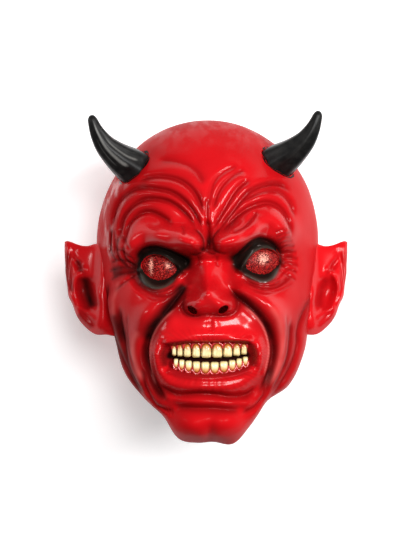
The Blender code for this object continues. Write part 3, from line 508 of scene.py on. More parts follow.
# Turn where the paint and the gloss end, and over how much each fades; gloss is lower on the left of the
# face. Where gloss is less the red is painted darker, as painted shade
PAINT_END = 1.3
PAINT_FADE = 0.2
GLOSS_AND_LIGHT_END = 0.68
GLOSS_AND_LIGHT_FADE = 0.34
LEFT_GLOSS_AND_LIGHT = 0.75
LEFT_GLOSS_AND_LIGHT_REACH = 40
EAR_GLOSS_AND_LIGHT = 0.7
# Sheen of the crown: where it starts, how soon it is full, and its strength
CROWN_FROM = 96
CROWN_FADE = 30
CROWN_SHEEN = 0.2


def eased(share):
    """0 to 1 with no corner at either end."""
    share = np.clip(share, 0.0, 1.0)
    return share * share * (3 - 2 * share)


def around(knots, degrees):
    """A smooth closed curve of value over angle, through (angle, value) knots."""
    angle = np.array([k[0] for k in knots], float)
    value = np.array([k[1] for k in knots], float)
    angle = np.concatenate([angle[-2:] - 360, angle, angle[:2] + 360])
    value = np.concatenate([value[-2:], value, value[:2]])
    slope = np.gradient(value, angle)
    degrees = np.mod(degrees, 360.0)
    low = np.clip(np.searchsorted(angle, degrees, side="right") - 1, 0, len(angle) - 2)
    width = angle[low + 1] - angle[low]
    t = (degrees - angle[low]) / width
    return (
        (2 * t**3 - 3 * t**2 + 1) * value[low]
        + (t**3 - 2 * t**2 + t) * width * slope[low]
        + (3 * t**2 - 2 * t**3) * value[low + 1]
        + (t**3 - t**2) * width * slope[low + 1]
    )


def smooth_path(points, samples):
    """Points along a Catmull-Rom curve through the given ones."""
    p = np.array(points, float)
    p = np.vstack([2 * p[0] - p[1], p, 2 * p[-1] - p[-2]])
    runs = []
    for a, b, c, d in zip(p[:-3], p[1:-2], p[2:-1], p[3:]):
        t = np.linspace(0, 1, samples, endpoint=False)[:, None]
        runs.append(0.5 * (2 * b + (c - a) * t + (2 * a - 5 * b + 4 * c - d) * t**2
                           + (3 * b - a - 3 * c + d) * t**3))
    return np.vstack(runs + [p[-2:-1]])


def beside(x, y, points):
    """Distance of each (x, y) from a smooth path, and how far along the path it is, 0 to 1."""
    path = smooth_path(points, 6)
    nearest = np.full(x.shape, np.inf)
    along = np.zeros(x.shape)
    for i, (start, end) in enumerate(zip(path[:-1], path[1:])):
        run = end - start
        t = ((x - start[0]) * run[0] + (y - start[1]) * run[1]) / max(run @ run, 1e-9)
        t = np.clip(t, 0, 1)
        away = np.hypot(x - start[0] - t * run[0], y - start[1] - t * run[1])
        closer = away < nearest
        nearest = np.where(closer, away, nearest)
        along = np.where(closer, (i + t) / (len(path) - 1), along)
    return nearest, along


def stroke(x, y, path, reach, shape):
    """shape(distance, share along) for the points within reach of a path, and nothing for the rest."""
    low, high = np.min(path, axis=0) - reach, np.max(path, axis=0) + reach
    near = (x > low[0]) & (x < high[0]) & (y > low[1]) & (y < high[1])
    h = np.zeros(x.shape)
    h[near] = shape(*beside(x[near], y[near], path))
    return h


def bump(x, y, at, radii, height, tilt, power=2.0):
    """A rounded swelling or, with a negative height, a hollow. A higher power gives it a flatter top."""
    c, s = math.cos(math.radians(tilt)), math.sin(math.radians(tilt))
    u = ((x - at[0]) * c + (y - at[1]) * s) / radii[0]
    v = ((y - at[1]) * c - (x - at[0]) * s) / radii[1]
    return height * np.exp(-((u * u + v * v) ** (power / 2)))


def roll(x, y, path, width, start, end):
    """A long rounded fold of flesh, from one height to another along its path."""
    return stroke(x, y, path, 3 * width, lambda away, along: (
        (start + (end - start) * along) * np.exp(-((away / width) ** 2))))


def crease(x, y, path, width, depth):
    """A valley between two rounded shoulders, fading out at both ends. Its width is to one side."""
    def valley(away, along):
        away = np.sqrt(away**2 + CREASE_ROUNDING**2) - CREASE_ROUNDING
        shoulders = SHOULDER_HEIGHT * np.exp(-((away / (SHOULDER_WIDTH * width)) ** 2))
        ends = eased(along / CREASE_FADE) * eased((1 - along) / CREASE_FADE)
        return depth * ends * (shoulders - CREASE_DROP * np.exp(-away / width))
    return stroke(x, y, path, 8 * width, valley)


def forms(x, y, bumps, rolls):
    """Height of some swellings, hollows and rolls of flesh, added up."""
    h = np.zeros(x.shape)
    for at, radii, height, tilt, power in bumps:
        h += bump(x, y, at, radii, height, tilt, power)
    for path, width, start, end in rolls:
        h += roll(x, y, path, width, start, end)
    return h


def relief(x, y):
    """How far the carved face stands out from the plain head, seen from the front."""
    h = forms(x, y, BROAD, ROLLS)
    for path, width, depth, _ in CREASES:
        h += crease(x, y, path, width, depth)
    return h


def teeth_places():
    """Each tooth's middle, width, height (negative in the lower row) and how far out in its row it is."""
    for (left, gap, widths), (height, edge) in ((UPPER_TEETH, UPPER_BITE), (LOWER_TEETH, LOWER_BITE)):
        for width in widths:
            x = left + width / 2
            left += width + gap
            out = (x - TEETH_MIDDLE) / TEETH_REACH
            tall = height * (1 - END_SHORTER * out * out)
            rise = (ROW_RISE + ROW_RISE_RIGHT * out) * out * out
            yield x, BITE + rise + edge * (1 - END_CLOSER * out * out) + tall / 2, width, tall, out


def teeth_level(out):
    """Height of the teeth's fronts, which stand back towards the ends of a row."""
    return plain_front(0.0, BITE) + TEETH_PROUD - END_SET_BACK * out * out


def wrinkled(x, y):
    """The relief with its finest creases and ridges."""
    h = relief(x, y)
    for path, width, depth, _ in FINE_CREASES:
        h += crease(x, y, path, width, depth)
    for path, width, height in FINE_RIDGES + LID_RIMS:
        h += roll(x, y, path, width, height, height)
    return h


def front_height(side, share):
    """Height of the plain head's front: side at its outline, where share is 1, and full at its middle."""
    return side + (FRONT_DEPTH - side) * np.sqrt(np.clip(1 - share**FRONT_FULLNESS, 0, 1))


def plain_head(degrees, turn):
    """A point of the plain head. turn runs from 0 at the face to 1 at the outline and 2 at the back."""
    share = np.sin(turn * math.pi / 2)
    radius = around(OUTLINE, degrees)
    radius = (radius + (around(BACK_OUTLINE, degrees) - radius) * eased((turn - 1) / BACK_BLEND)) * share
    side = around(OUTLINE_DEPTH, degrees)
    back = side - (side + SAG) * np.sqrt(np.clip(1 - share ** around(BACK_FULLNESS, degrees), 0, 1))
    z = np.where(turn < 1, front_height(side, share), np.maximum(back, 0.0))
    a = np.radians(degrees)
    return np.stack([CENTRE[0] + radius * np.cos(a), CENTRE[1] + radius * np.sin(a), z], -1)


def polar_mesh(name, around_count, rows):
    """A closed ball of rings about the view axis, and each vertex's angle and turn from front to back."""
    ring = np.arange(1, rows)[:-1, None]
    spot = np.arange(around_count)[None, :]
    turn = np.concatenate([[0.0], np.repeat(2.0 * np.arange(1, rows) / rows, around_count), [2.0]])
    ring_degrees = 360.0 * np.arange(around_count) / around_count
    degrees = np.concatenate([[0.0], np.tile(ring_degrees, rows - 1), [0.0]])
    a = 1 + (ring - 1) * around_count + spot
    b = 1 + (ring - 1) * around_count + (spot + 1) % around_count
    quads = np.stack([a, a + around_count, b + around_count, b], -1).reshape(-1, 4)
    spot = spot[0]
    first = np.stack([np.zeros(around_count, int), 1 + spot, 1 + (spot + 1) % around_count], -1)
    start = 1 + (rows - 2) * around_count
    end = np.full(around_count, len(turn) - 1)
    last = np.stack([end, start + (spot + 1) % around_count, start + spot], -1)
    corners = np.concatenate([quads.ravel(), first.ravel(), last.ravel()])
    counts = np.concatenate([np.full(len(quads), 4), np.full(2 * around_count, 3)])
    mesh = bpy.data.meshes.new(name)
    mesh.vertices.add(len(turn))
    mesh.loops.add(len(corners))
    mesh.polygons.add(len(counts))
    mesh.loops.foreach_set("vertex_index", corners.astype(np.int32))
    mesh.polygons.foreach_set("loop_start", np.concatenate([[0], np.cumsum(counts)[:-1]]).astype(np.int32))
    mesh.update(calc_edges=True)
    return mesh, degrees, turn


def face_first(turn, share):
    """Gives the front that share of a ball's rows."""
    t = turn / 2
    return np.where(t < share, t / share, 1 + (t - share) / (1 - share))


def place(mesh, points):
    """Moves a mesh's vertices to points in millimetres."""
    mesh.vertices.foreach_set("co", (points * MM).ravel())
    mesh.update()


def plain_front(x, y):
    """Height of the plain head's front at one place of the front view."""
    x, y = x - CENTRE[0], y - CENTRE[1]
    degrees = math.degrees(math.atan2(y, x))
    share = math.hypot(x, y) / around(OUTLINE, degrees)
    return float(front_height(around(OUTLINE_DEPTH, degrees), share))


def plain_normal(degrees, turn):
    """The outward normal of the plain head, by small steps round and along."""
    step, pace = 0.4, 0.004
    turn = np.clip(turn, 2 * pace, 2 - 2 * pace)
    round_it = plain_head(degrees + step, turn) - plain_head(degrees - step, turn)
    along_it = plain_head(degrees, turn + pace) - plain_head(degrees, turn - pace)
    n = np.cross(along_it, round_it)
    return n / np.linalg.norm(n, axis=-1, keepdims=True)


def carved(degrees, turn, inset=0.0, spread=0.0):
    """Points of the carved head, or of its hollow, which lies inset behind the deepest carving near it."""
    plain = plain_head(degrees, turn)
    normal = plain_normal(degrees, turn)
    x, y = plain[:, 0], plain[:, 1]
    h = relief(x, y) if spread else wrinkled(x, y)
    for k in range(8 if spread else 0):
        a = k * math.pi / 4
        h = np.minimum(h, relief(x + spread * math.cos(a), y + spread * math.sin(a)))
    h = h * eased((CARVING_END - turn) / CARVING_FADE)
    way = normal * FACE_LEAN + np.array([0.0, 0.0, 1 - FACE_LEAN])
    way /= np.linalg.norm(way, axis=-1, keepdims=True)
    return plain + way * h[:, None] - normal * inset


# Sockets of a Mix node that mixes colours: its factor and two colours, and its result
MIX_SOCKETS = (0, 6, 7)
MIX_RESULT = 2


class Tone:
    """A socket of a finish that can be worked with like a number."""

    def __init__(self, finish, socket):
        self.finish, self.socket = finish, socket

    def __add__(self, other):
        return self.finish.maths("ADD", self, other)

    def __sub__(self, other):
        return self.finish.maths("SUBTRACT", self, other)

    def __rsub__(self, other):
        return self.finish.maths("SUBTRACT", other, self)

    def __mul__(self, other):
        return self.finish.maths("MULTIPLY", self, other)

    __radd__ = __add__
    __rmul__ = __mul__

    def over(self, low, high):
        """0 below low, 1 above high, and smooth between them."""
        node = {"interpolation_type": "SMOOTHSTEP"}
        return self.finish.node("ShaderNodeMapRange", node, Value=self, **{"From Min": low, "From Max": high})


class Finish:
    """A material built up from nodes."""

    def __init__(self, name):
        self.material = bpy.data.materials.new(name)
        self.material.use_nodes = True
        self.tree = self.material.node_tree
        self.shader = self.tree.nodes["Principled BSDF"]

    def node(self, kind, settings=None, *values, output=0, **named):
        """Any node: its type, its settings, and the values or links of its sockets by place or by name."""
        made = self.tree.nodes.new(kind)
        for name, value in (settings or {}).items():
            setattr(made, name, value)
        for key, value in [*enumerate(values), *named.items()]:
            self.feed(made.inputs[key], value)
        return Tone(self, made.outputs[output])

    def feed(self, socket, value):
        """Links a tone to a socket, or sets the socket to a number or a colour."""
        if isinstance(value, Tone):
            self.tree.links.new(value.socket, socket)
        elif socket.type == "RGBA" and len(value) == 3:
            socket.default_value = (*value, 1)
        else:
            socket.default_value = value

    def maths(self, operation, *values):
        """A Math node. Plain numbers and tones can be mixed."""
        return self.node("ShaderNodeMath", {"operation": operation}, *values)

    def where(self):
        """Place on the piece, in metres."""
        return self.node("ShaderNodeTexCoord", output="Object")

    def noise(self, scale, detail, stretch=(1, 1, 1)):
        """Clouds, so many to the metre, and stretch times as many along each axis."""
        spread = self.node("ShaderNodeVectorMath", {"operation": "MULTIPLY"}, self.where(), stretch)
        return self.node("ShaderNodeTexNoise", Vector=spread, Scale=scale, Detail=detail)

    def flakes(self, scale):
        """Small cells, each of its own random colour."""
        return self.node("ShaderNodeTexVoronoi", output="Color", Vector=self.where(), Scale=scale)

    def painted(self, name):
        """A weight kept on the mesh, 0 to 1."""
        return self.node("ShaderNodeAttribute", {"attribute_name": name}, output="Fac")

    def mix(self, share, first, second):
        """The first colour, and more of the second the higher the share."""
        made = self.node("ShaderNodeMix", {"data_type": "RGBA"}, output=MIX_RESULT)
        for index, value in zip(MIX_SOCKETS, (share, first, second)):
            self.feed(made.socket.node.inputs[index], value)
        return made

    def bump(self, height, strength, distance, normal=None):
        """A fine unevenness, which may lie over another one."""
        under = {"Normal": normal} if normal else {}
        return self.node("ShaderNodeBump", Height=height, Strength=strength, Distance=distance, **under)

    def set(self, **sockets):
        """Sets the shader's own sockets, and gives the finished material."""
        for name, value in sockets.items():
            self.feed(self.shader.inputs[name.replace("_", " ")], value)
        return self.material


def new_object(name, mesh, finish=None):
    """An object in the scene with its mesh, and with a material if it is a finished piece."""
    obj = bpy.data.objects.new(name, mesh)
    bpy.context.scene.collection.objects.link(obj)
    if finish:
        mesh.materials.append(finish)
    return obj


def weigh(mesh, name, values):
    """Keeps a weight on the mesh's vertices."""
    made = mesh.attributes.new(name, "FLOAT", "POINT")
    made.data.foreach_set("value", np.asarray(values, np.float32))


def horn_root():
    """Where the left horn's middle line starts."""
    return np.array((*HORN_ROOT_AT, plain_front(*HORN_ROOT_AT) + HORN_ROOT_PROUD))


def horn_paint(points, side):
    """How close each point is to the foot of a horn: 1 at the horn itself and 0 some way off."""
    foot = horn_root()
    way = np.array(HORN_LINE[1], float)
    if side == "right":
        foot, way = foot * (-1, 1, 1) + RIGHT_HORN_SHIFT, way * (-1, 1, 1)
    way /= np.linalg.norm(way)
    along = np.clip((points - foot) @ way, -HORN_FOOT, HORN_FOOT)
    away = np.linalg.norm(points - foot - along[:, None] * way, axis=1) - HORN_BASE_RADIUS
    return np.clip(1 - away / HORN_PAINT_REACH, 0, 1)


def join_or_cut(obj, other, operation):
    """Joins or cuts at once, and throws the cutter away."""
    cut = obj.modifiers.new(operation, "BOOLEAN")
    cut.operation = operation
    cut.object = other
    cut.solver = "MANIFOLD"
    with bpy.context.temp_override(object=obj, active_object=obj):
        bpy.ops.object.modifier_apply(modifier=cut.name)
    bpy.data.objects.remove(other)


def soft_line(x, y, path, width):
    """1 along the middle of a line, fading to both sides and at its ends."""
    return stroke(x, y, path, 3 * width, lambda away, along: (
        np.exp(-((away / width) ** 2)) * eased(along / STROKE_FADE) * eased((1 - along) / STROKE_FADE)))


def soft_patch(x, y, outline, soft):
    """1 inside a closed outline and 0 outside it, with a soft edge."""
    loop = smooth_path(list(outline) + [outline[0]], 8)
    away, _ = beside(x, y, list(outline) + [outline[0]])
    inside = np.zeros(x.shape, bool)
    for (x0, y0), (x1, y1) in zip(loop[:-1], loop[1:]):
        if y0 != y1:
            inside ^= ((y0 > y) != (y1 > y)) & (x < (x1 - x0) * (y - y0) / (y1 - y0) + x0)
    return eased(0.5 + np.where(inside, away, -away) / soft)


def layered(x, y, strokes):
    """Painted strokes laid over one another, 0 to 1: airbrush with painted shade, and painted highlights."""
    dark = np.zeros(x.shape)
    for path, width, shade in strokes:
        dark = 1 - (1 - dark) * (1 - shade * soft_line(x, y, path, width))
    return dark


def spray_and_shade(x, y):
    """How much brown-black is painted on the red: airbrush and painted shade, deepest in the creases, hollows
    and holes.
    """
    dark = layered(x, y, SPRAY_AND_SHADE_STROKES)
    for at, radii, shade, tilt in SHADOWS:
        dark = 1 - (1 - dark) * (1 - bump(x, y, at, radii, shade, tilt))
    for path, width, _, shade in CREASES + FINE_CREASES:
        line = soft_line(x, y, path, width * LINE_WIDTH) * shade
        haze = soft_line(x, y, path, width * HAZE_WIDTH) * shade * HAZE_STRENGTH
        dark = 1 - (1 - dark) * (1 - np.clip(line + haze, 0, 1))
    return np.clip(dark, 0, 1)


def paint_head(mesh, points, x, y, turn):
    """Weights that the latex finish reads: airbrush with painted shade, painted highlights, brushed paint,
    and gloss, with painted shade where it is less.
    """
    front = eased((PAINT_END - turn) / PAINT_FADE)
    left_black, right_black = (soft_patch(x, y, outline, EYE_BLACK_EDGE)
                               for outline in (LEFT_EYE_BLACK, RIGHT_EYE_BLACK))
    mouth = soft_patch(x, y, MOUTH, MOUTH_EDGE)
    lids = sum(soft_line(x, y, path, LID_LINE) for path, _, _ in LID_RIMS)
    painted = {
        # Airbrush with painted shade in creases and hollows, and painted highlights along the rims of the
        # folds
        "spray_and_shade": spray_and_shade(x, y),
        "painted_highlight": layered(x, y, PAINTED_HIGHLIGHT_STROKES),
        "eye_black": np.maximum(left_black, right_black),
        # Grey along the lid rims: the lids' own grey and painted highlight
        "lid": np.clip(lids, 0, 1),
        # The mouth, painted darker as painted shade
        "mouth": mouth,
        "throat": np.clip(soft_line(x, y, THROAT, THROAT_WIDTH) * THROAT_STRENGTH, 0, 1),
        "lips": soft_patch(x, y, LIPS, LIPS_EDGE) * (1 - mouth),
        "temple": soft_patch(x, y, TEMPLE, TEMPLE_EDGE) + CROWN_SHEEN * eased((y - CROWN_FROM) / CROWN_FADE),
    }
    for name, weight in painted.items():
        weigh(mesh, name, weight * front)
    # Less gloss on the left; where the gloss is less, the red is also painted darker, as painted shade
    even = LEFT_GLOSS_AND_LIGHT + (1 - LEFT_GLOSS_AND_LIGHT) * eased((x + LEFT_GLOSS_AND_LIGHT_REACH) / LEFT_GLOSS_AND_LIGHT_REACH)
    weigh(mesh, "gloss_and_painted_light", eased((GLOSS_AND_LIGHT_END - turn) / GLOSS_AND_LIGHT_FADE) * even)
    weigh(mesh, "horn_paint", np.maximum(horn_paint(points, "left"), horn_paint(points, "right")))
    weigh(mesh, "hollow", np.zeros(len(turn)))


def head_mesh():
    """The outside of the head, carved and painted."""
    mesh, degrees, turn = polar_mesh("mask_skin", *HEAD_GRID)
    turn = face_first(turn, FACE_SHARE)
    points = carved(degrees, turn)
    place(mesh, points)
    plain = plain_head(degrees, turn)
    paint_head(mesh, points, plain[:, 0], plain[:, 1], turn)
    return mesh


def cavity_mesh():
    """The hollow of the head, which follows the broad carving."""
    mesh, degrees, turn = polar_mesh("cavity", *CAVITY_GRID)
    place(mesh, carved(degrees, face_first(turn, HOLLOW_FACE_SHARE), WALL, HOLLOW_SPREAD))
    weigh(mesh, "hollow", np.ones(len(turn)))
    return mesh


def ear_mesh(side):
    """A pointed ear with its rim, bowl and folds, its root inside the head."""
    mesh, degrees, turn = polar_mesh("ear", *EAR_GRID)
    share = np.sin(turn * math.pi / 2)
    reach = around(EAR_OUTLINE, degrees) * share
    a = np.radians(degrees)
    x, y = EAR_CENTRE[0] + reach * np.cos(a), EAR_CENTRE[1] + reach * np.sin(a)
    middle = EAR_FRONT - EAR_THICKNESS + EAR_SWEEP * (x - EAR_ROOT) - EAR_DROOP * y
    edge = np.sqrt(np.clip(1 - share**4, 0, 1))
    h = forms(x, y, EAR_FORMS, EAR_ROLLS)
    front = middle + (EAR_THICKNESS + h) * edge
    back = middle - (EAR_THICKNESS + np.maximum(-h, 0)) * edge
    if side == "right":
        x = -x
        mesh.flip_normals()
    # Airbrush and painted shade in the ear, stronger on the left ear as painted shade
    weigh(mesh, "spray_and_shade", layered(-np.abs(x), y, EAR_SPRAY_AND_SHADE) * EAR_SHADE[side] * (turn < 1))
    weigh(mesh, "gloss_and_painted_light", EAR_GLOSS_AND_LIGHT * (turn < 1))
    place(mesh, np.stack([x, y, np.where(turn < 1, front, back)], -1))
    return mesh


def horn_mesh(name, side, grid, clearance=0.0):
    """A bent, tapering, lengthwise grooved horn with its root below the skin."""
    mesh, degrees, turn = polar_mesh(name, *grid)
    centre = smooth_path(HORN_LINE, 10)
    inward = (centre[0] - centre[3]) / np.linalg.norm(centre[0] - centre[3])
    centre = np.vstack([centre[:1] + inward * HORN_ROOT, centre])
    run = np.concatenate([[0], np.cumsum(np.linalg.norm(np.diff(centre, axis=0), axis=1))])
    run[0] -= 3 * clearance
    run[-1] += 3 * clearance
    t = np.clip((turn - HORN_CAP) / (2 - 2 * HORN_CAP), 0, 1)
    s = run[0] + (run[-1] - run[0]) * t
    at = np.stack([np.interp(s, run, centre[:, i]) for i in range(3)], -1)
    ahead = np.stack([np.interp(s + 2, run, centre[:, i]) for i in range(3)], -1)
    behind = np.stack([np.interp(s - 2, run, centre[:, i]) for i in range(3)], -1)
    way = ahead - behind
    way /= np.linalg.norm(way, axis=1, keepdims=True)
    across = np.cross(way, (0, 0, 1))
    across /= np.linalg.norm(across, axis=1, keepdims=True)
    up = np.cross(across, way)
    slim = np.clip((s - HORN_ROOT) / (run[-1] - HORN_ROOT), 0, 1)
    radius = HORN_BASE_RADIUS + (HORN_TIP_RADIUS - HORN_BASE_RADIUS) * slim
    tip = np.clip((slim - HORN_ROUND_FROM) / (1 - HORN_ROUND_FROM), 0, 1)
    radius *= np.sqrt(1 - HORN_ROUNDING * tip**2)
    a = np.radians(degrees)
    grooves = 1 - HORN_GROOVE * np.cos(HORN_GROOVES * a) * eased((1 - slim) / GROOVE_FADE)
    radius = (radius * grooves + clearance) * np.clip(np.minimum(turn, 2 - turn) / HORN_CAP, 0, 1)
    points = horn_root() + at + across * (radius * np.cos(a))[:, None] + up * (radius * np.sin(a))[:, None]
    if side == "right":
        points[:, 0] = -points[:, 0]
        points += np.array(RIGHT_HORN_SHIFT)
        mesh.flip_normals()
    place(mesh, points)
    # Painted highlights: grey streaks along the horn where its grooves would catch the light
    painted_sheen = np.zeros(len(turn))
    for facing, width, first, last, strength in HORN_HIGHLIGHT_STREAKS:
        wander = STREAK_WANDER * np.sin(STREAK_WAVES * slim)
        off = np.abs(np.mod(degrees - facing - wander + 180, 360) - 180) / width
        ends = eased((slim - first) / STREAK_FADE_IN) * eased((last - slim) / STREAK_FADE_OUT)
        painted_sheen += strength * np.exp(-off * off) * ends
    weigh(mesh, "painted_sheen", np.clip(painted_sheen, 0, 1) * HORN_HIGHLIGHT[side])
    return mesh


def eye_frame(side):
    """Where an eye sits and how it is turned."""
    x, y = EYE_AT[side]
    seat = Matrix.Translation(Vector((x, y, plain_front(x, y) - EYE_SET_BACK)) * MM)
    outward = Matrix.Rotation(math.radians(EYE_YAW[side]), 4, "Y")
    return seat @ outward @ Matrix.Rotation(math.radians(EYE_ROLL[side]), 4, "Z")


def lens_mesh(side):
    """A domed shell with an open back."""
    mesh, degrees, turn = polar_mesh("lens", *LENS_GRID)
    inner = turn > 1
    turn = np.where(inner, 2 - turn, turn)
    size = [np.where(inner, s - LENS_WALL, s) for s in LENS_SIZE]
    a, t = np.radians(degrees), turn * math.pi / 2
    x, y, z = size[0] * np.sin(t) * np.cos(a), size[1] * np.sin(t) * np.sin(a), size[2] * np.cos(t)
    place(mesh, np.stack([x, y, z], -1))
    # Painted glints where the glitter is lit
    weigh(mesh, "painted_glint", np.clip(sum(bump(x, y, *painted_glint) for painted_glint in PAINTED_GLINTS[side]), 0, 1))
    mesh.transform(eye_frame(side))
    return mesh


def lens_pocket_mesh(side):
    """The seat cut for a lens behind its lids: its dome with a gap round it, and straight sides behind."""
    mesh, degrees, turn = polar_mesh("lens_pocket", *POCKET_GRID)
    share = np.where(turn < 1, np.sin(turn * math.pi / 2), np.minimum((2 - turn) / POCKET_END, 1))
    a = np.radians(degrees)
    wide, high, deep = (size + GAP for size in LENS_SIZE)
    behind = -np.minimum((turn - 1) / (1 - POCKET_END), 1) * POCKET_DEPTH
    z = np.where(turn < 1, deep * np.cos(turn * math.pi / 2), behind)
    place(mesh, np.stack([wide * share * np.cos(a), high * share * np.sin(a), z], -1))
    mesh.transform(eye_frame(side))
    return mesh


def flat_ended(turn):
    """Share of the radius that makes a straight-sided cutter with flat ends."""
    return np.minimum(np.minimum(turn, 2 - turn) / 0.5, 1)


def eye_opening_mesh(side):
    """The almond cut through the lids."""
    mesh, degrees, turn = polar_mesh("eye_opening", *OPENING_GRID)
    share = flat_ended(turn)
    a = np.radians(degrees)
    x = (LENS_SIZE[0] - LENS_LAP[0]) * np.cos(a) * share
    y = (LENS_SIZE[1] - LENS_LAP[1]) * np.sin(a) * (ALMOND + (1 - ALMOND) * np.abs(np.sin(a))) * share
    place(mesh, np.stack([x, y, np.where(turn < 1, OPENING_TOP, OPENING_FLOOR)], -1))
    mesh.transform(eye_frame(side))
    return mesh


def nostril_mesh(side):
    """An oval hole right through the skin."""
    (x, y), tilt = NOSTRILS[side]
    mesh, degrees, turn = polar_mesh("nostril", *NOSTRIL_GRID)
    radius = flat_ended(turn) * NOSTRIL_RADIUS
    a = np.radians(degrees)
    ends = np.where(turn < 1, NOSTRIL_REACH, -NOSTRIL_REACH)
    place(mesh, np.stack([radius * np.cos(a) * NOSTRIL_STRETCH, radius * np.sin(a), ends], -1))
    middle = Matrix.Translation(Vector((x, y, plain_front(x, y))) * MM)
    mesh.transform(middle @ Matrix.Rotation(math.radians(tilt), 4, "Z"))
    return mesh


def neck_block():
    """A block whose one face is the flat cut of the neck."""
    front, back = Vector((0, *NECK_FRONT)) * MM, Vector((0, *NECK_BACK)) * MM
    along = (front - back).normalized()
    outward = Vector((0, -along.z, along.y))
    bm = bmesh.new()
    bmesh.ops.create_cube(bm, size=1)
    turned = Matrix(((1, 0, 0, 0), (0, -outward.y, along.y, 0), (0, -outward.z, along.z, 0), (0, 0, 0, 1)))
    middle = Matrix.Translation((front + back) / 2 + outward * NECK_BLOCK[1] / 2)
    bmesh.ops.transform(bm, matrix=middle @ turned @ Matrix.Diagonal((*NECK_BLOCK, 1)), verts=bm.verts)
    bmesh.ops.recalc_face_normals(bm, faces=bm.faces)
    mesh = bpy.data.meshes.new("neck_block")
    bm.to_mesh(mesh)
    bm.free()
    return mesh


def tooth_row(name, upper):
    """One row of rounded blocks set in the floor of the mouth, arched at the gum and square at the bite."""
    meshes, roots = [], []
    for x, y, width, tall, out in teeth_places():
        if (tall > 0) != upper:
            continue
        mesh, degrees, turn = polar_mesh("tooth", *TOOTH_GRID)
        a, t = np.radians(degrees), turn * math.pi / 2
        c, s = np.cos(a), np.sin(a)
        square = BITE_SQUARE - GUM_ROUNDER * eased(ROUND_FROM + s * ROUND_PACE)
        spread = np.sin(t) ** TOOTH_SIDES / (np.abs(c) ** square + np.abs(s) ** square) ** (1 / square)
        grooves = TOOTH_GROOVE * np.cos(TOOTH_GROOVES * math.pi * c * spread) * (turn < 1)
        z = np.copysign(np.abs(np.cos(t)) ** TOOTH_FRONT, np.cos(t)) * TOOTH_DEPTH / 2
        z += teeth_level(out) - TOOTH_DEPTH / 2 + grooves
        place(mesh, np.stack([x + c * spread * width / 2, y + s * spread * tall / 2, z], -1))
        if tall < 0:
            mesh.flip_normals()
        meshes.append(mesh)
        roots.append(s * spread)
    joined = bpy.data.meshes.new(name)
    bm = bmesh.new()
    for mesh in meshes:
        bm.from_mesh(mesh)
        bpy.data.meshes.remove(mesh)
    bm.to_mesh(joined)
    bm.free()
    weigh(joined, "root", np.concatenate(roots) * 0.5 + 0.5)
    return joined


def gum_mesh():
    """A rounded rim of gum arched round the root of each tooth."""
    points, faces = [], []
    for x, y, width, tall, out in teeth_places():
        way = math.copysign(1, tall)
        root = y + tall / 2
        half = width / 2 + GUM_OVER
        rising = [(half * share - inset, root + rise * way) for share, inset, rise in GUM_ARCH]
        path = smooth_path([(x - off, at) for off, at in rising] + [(x, root + GUM_TOP * way)]
                           + [(x + off, at) for off, at in reversed(rising)], 5)
        ahead = np.gradient(path, axis=0)
        ahead /= np.linalg.norm(ahead, axis=1, keepdims=True)
        share = np.linspace(0, 1, len(path))
        thick = (GUM_RIM * np.sqrt(np.clip(1 - np.abs(2 * share - 1) ** 4, 0.02, 1)))[:, None]
        start = sum(len(p) for p in points)
        turn = 2 * math.pi * np.arange(GUM_SIDES) / GUM_SIDES
        ring = np.stack([
            path[:, :1] - ahead[:, 1:] * thick * np.cos(turn),
            path[:, 1:] + ahead[:, :1] * thick * np.cos(turn),
            teeth_level(out) - GUM_BEHIND + thick * GUM_DEEPER * np.sin(turn)], -1)
        points.append(ring.reshape(-1, 3))
        for i in range(len(path) - 1):
            for j in range(GUM_SIDES):
                a = start + i * GUM_SIDES + j
                b = start + i * GUM_SIDES + (j + 1) % GUM_SIDES
                faces.append((a, b, b + GUM_SIDES, a + GUM_SIDES))
        faces.append(tuple(start + j for j in reversed(range(GUM_SIDES))))
        faces.append(tuple(start + (len(path) - 1) * GUM_SIDES + j for j in range(GUM_SIDES)))
    mesh = bpy.data.meshes.new("gums")
    mesh.from_pydata((np.vstack(points) * MM).tolist(), [], faces)
    bm = bmesh.new()
    bm.from_mesh(mesh)
    bmesh.ops.recalc_face_normals(bm, faces=bm.faces)
    bm.to_mesh(mesh)
    bm.free()
    return mesh


# Colours of the latex, from its own red to what is sprayed and brushed on it, and to painted shade and
# painted highlights
BRIGHT_RED = (0.58, 0.0045, 0.008)
FULL_RED = (0.46, 0.0035, 0.006)
# Darker red on the sides and the left of the face: painted shade
SIDE_SHADE_RED = (0.30, 0.003, 0.004)
# Brown-black of the airbrush and of the painted shade in creases and hollows
SPRAY_AND_SHADE_BROWN = (0.022, 0.003, 0.003)
# Paler red of the painted highlights on the rims of the folds
HIGHLIGHT_RED = (0.68, 0.12, 0.11)
# Darker red inside the mouth: painted shade
MOUTH_SHADE_RED = (0.22, 0.004, 0.006)
THROAT_BLACK = (0.012, 0.002, 0.002)
EYE_BLACK = (0.008, 0.005, 0.004)
# Grey of the lid rims: their own grey and painted highlight
LID_GREY_AND_HIGHLIGHT = (0.050, 0.043, 0.034)
FOOT_BLACK = (0.006, 0.005, 0.005)
INSIDE_RED = (0.42, 0.02, 0.02)
# The fine lines of the lips run outwards from here, in metres
LIP_LINES_AT = (0.0025, -0.068)
LIP_LINES_STRETCH = 2.2
LIP_LINES = 60


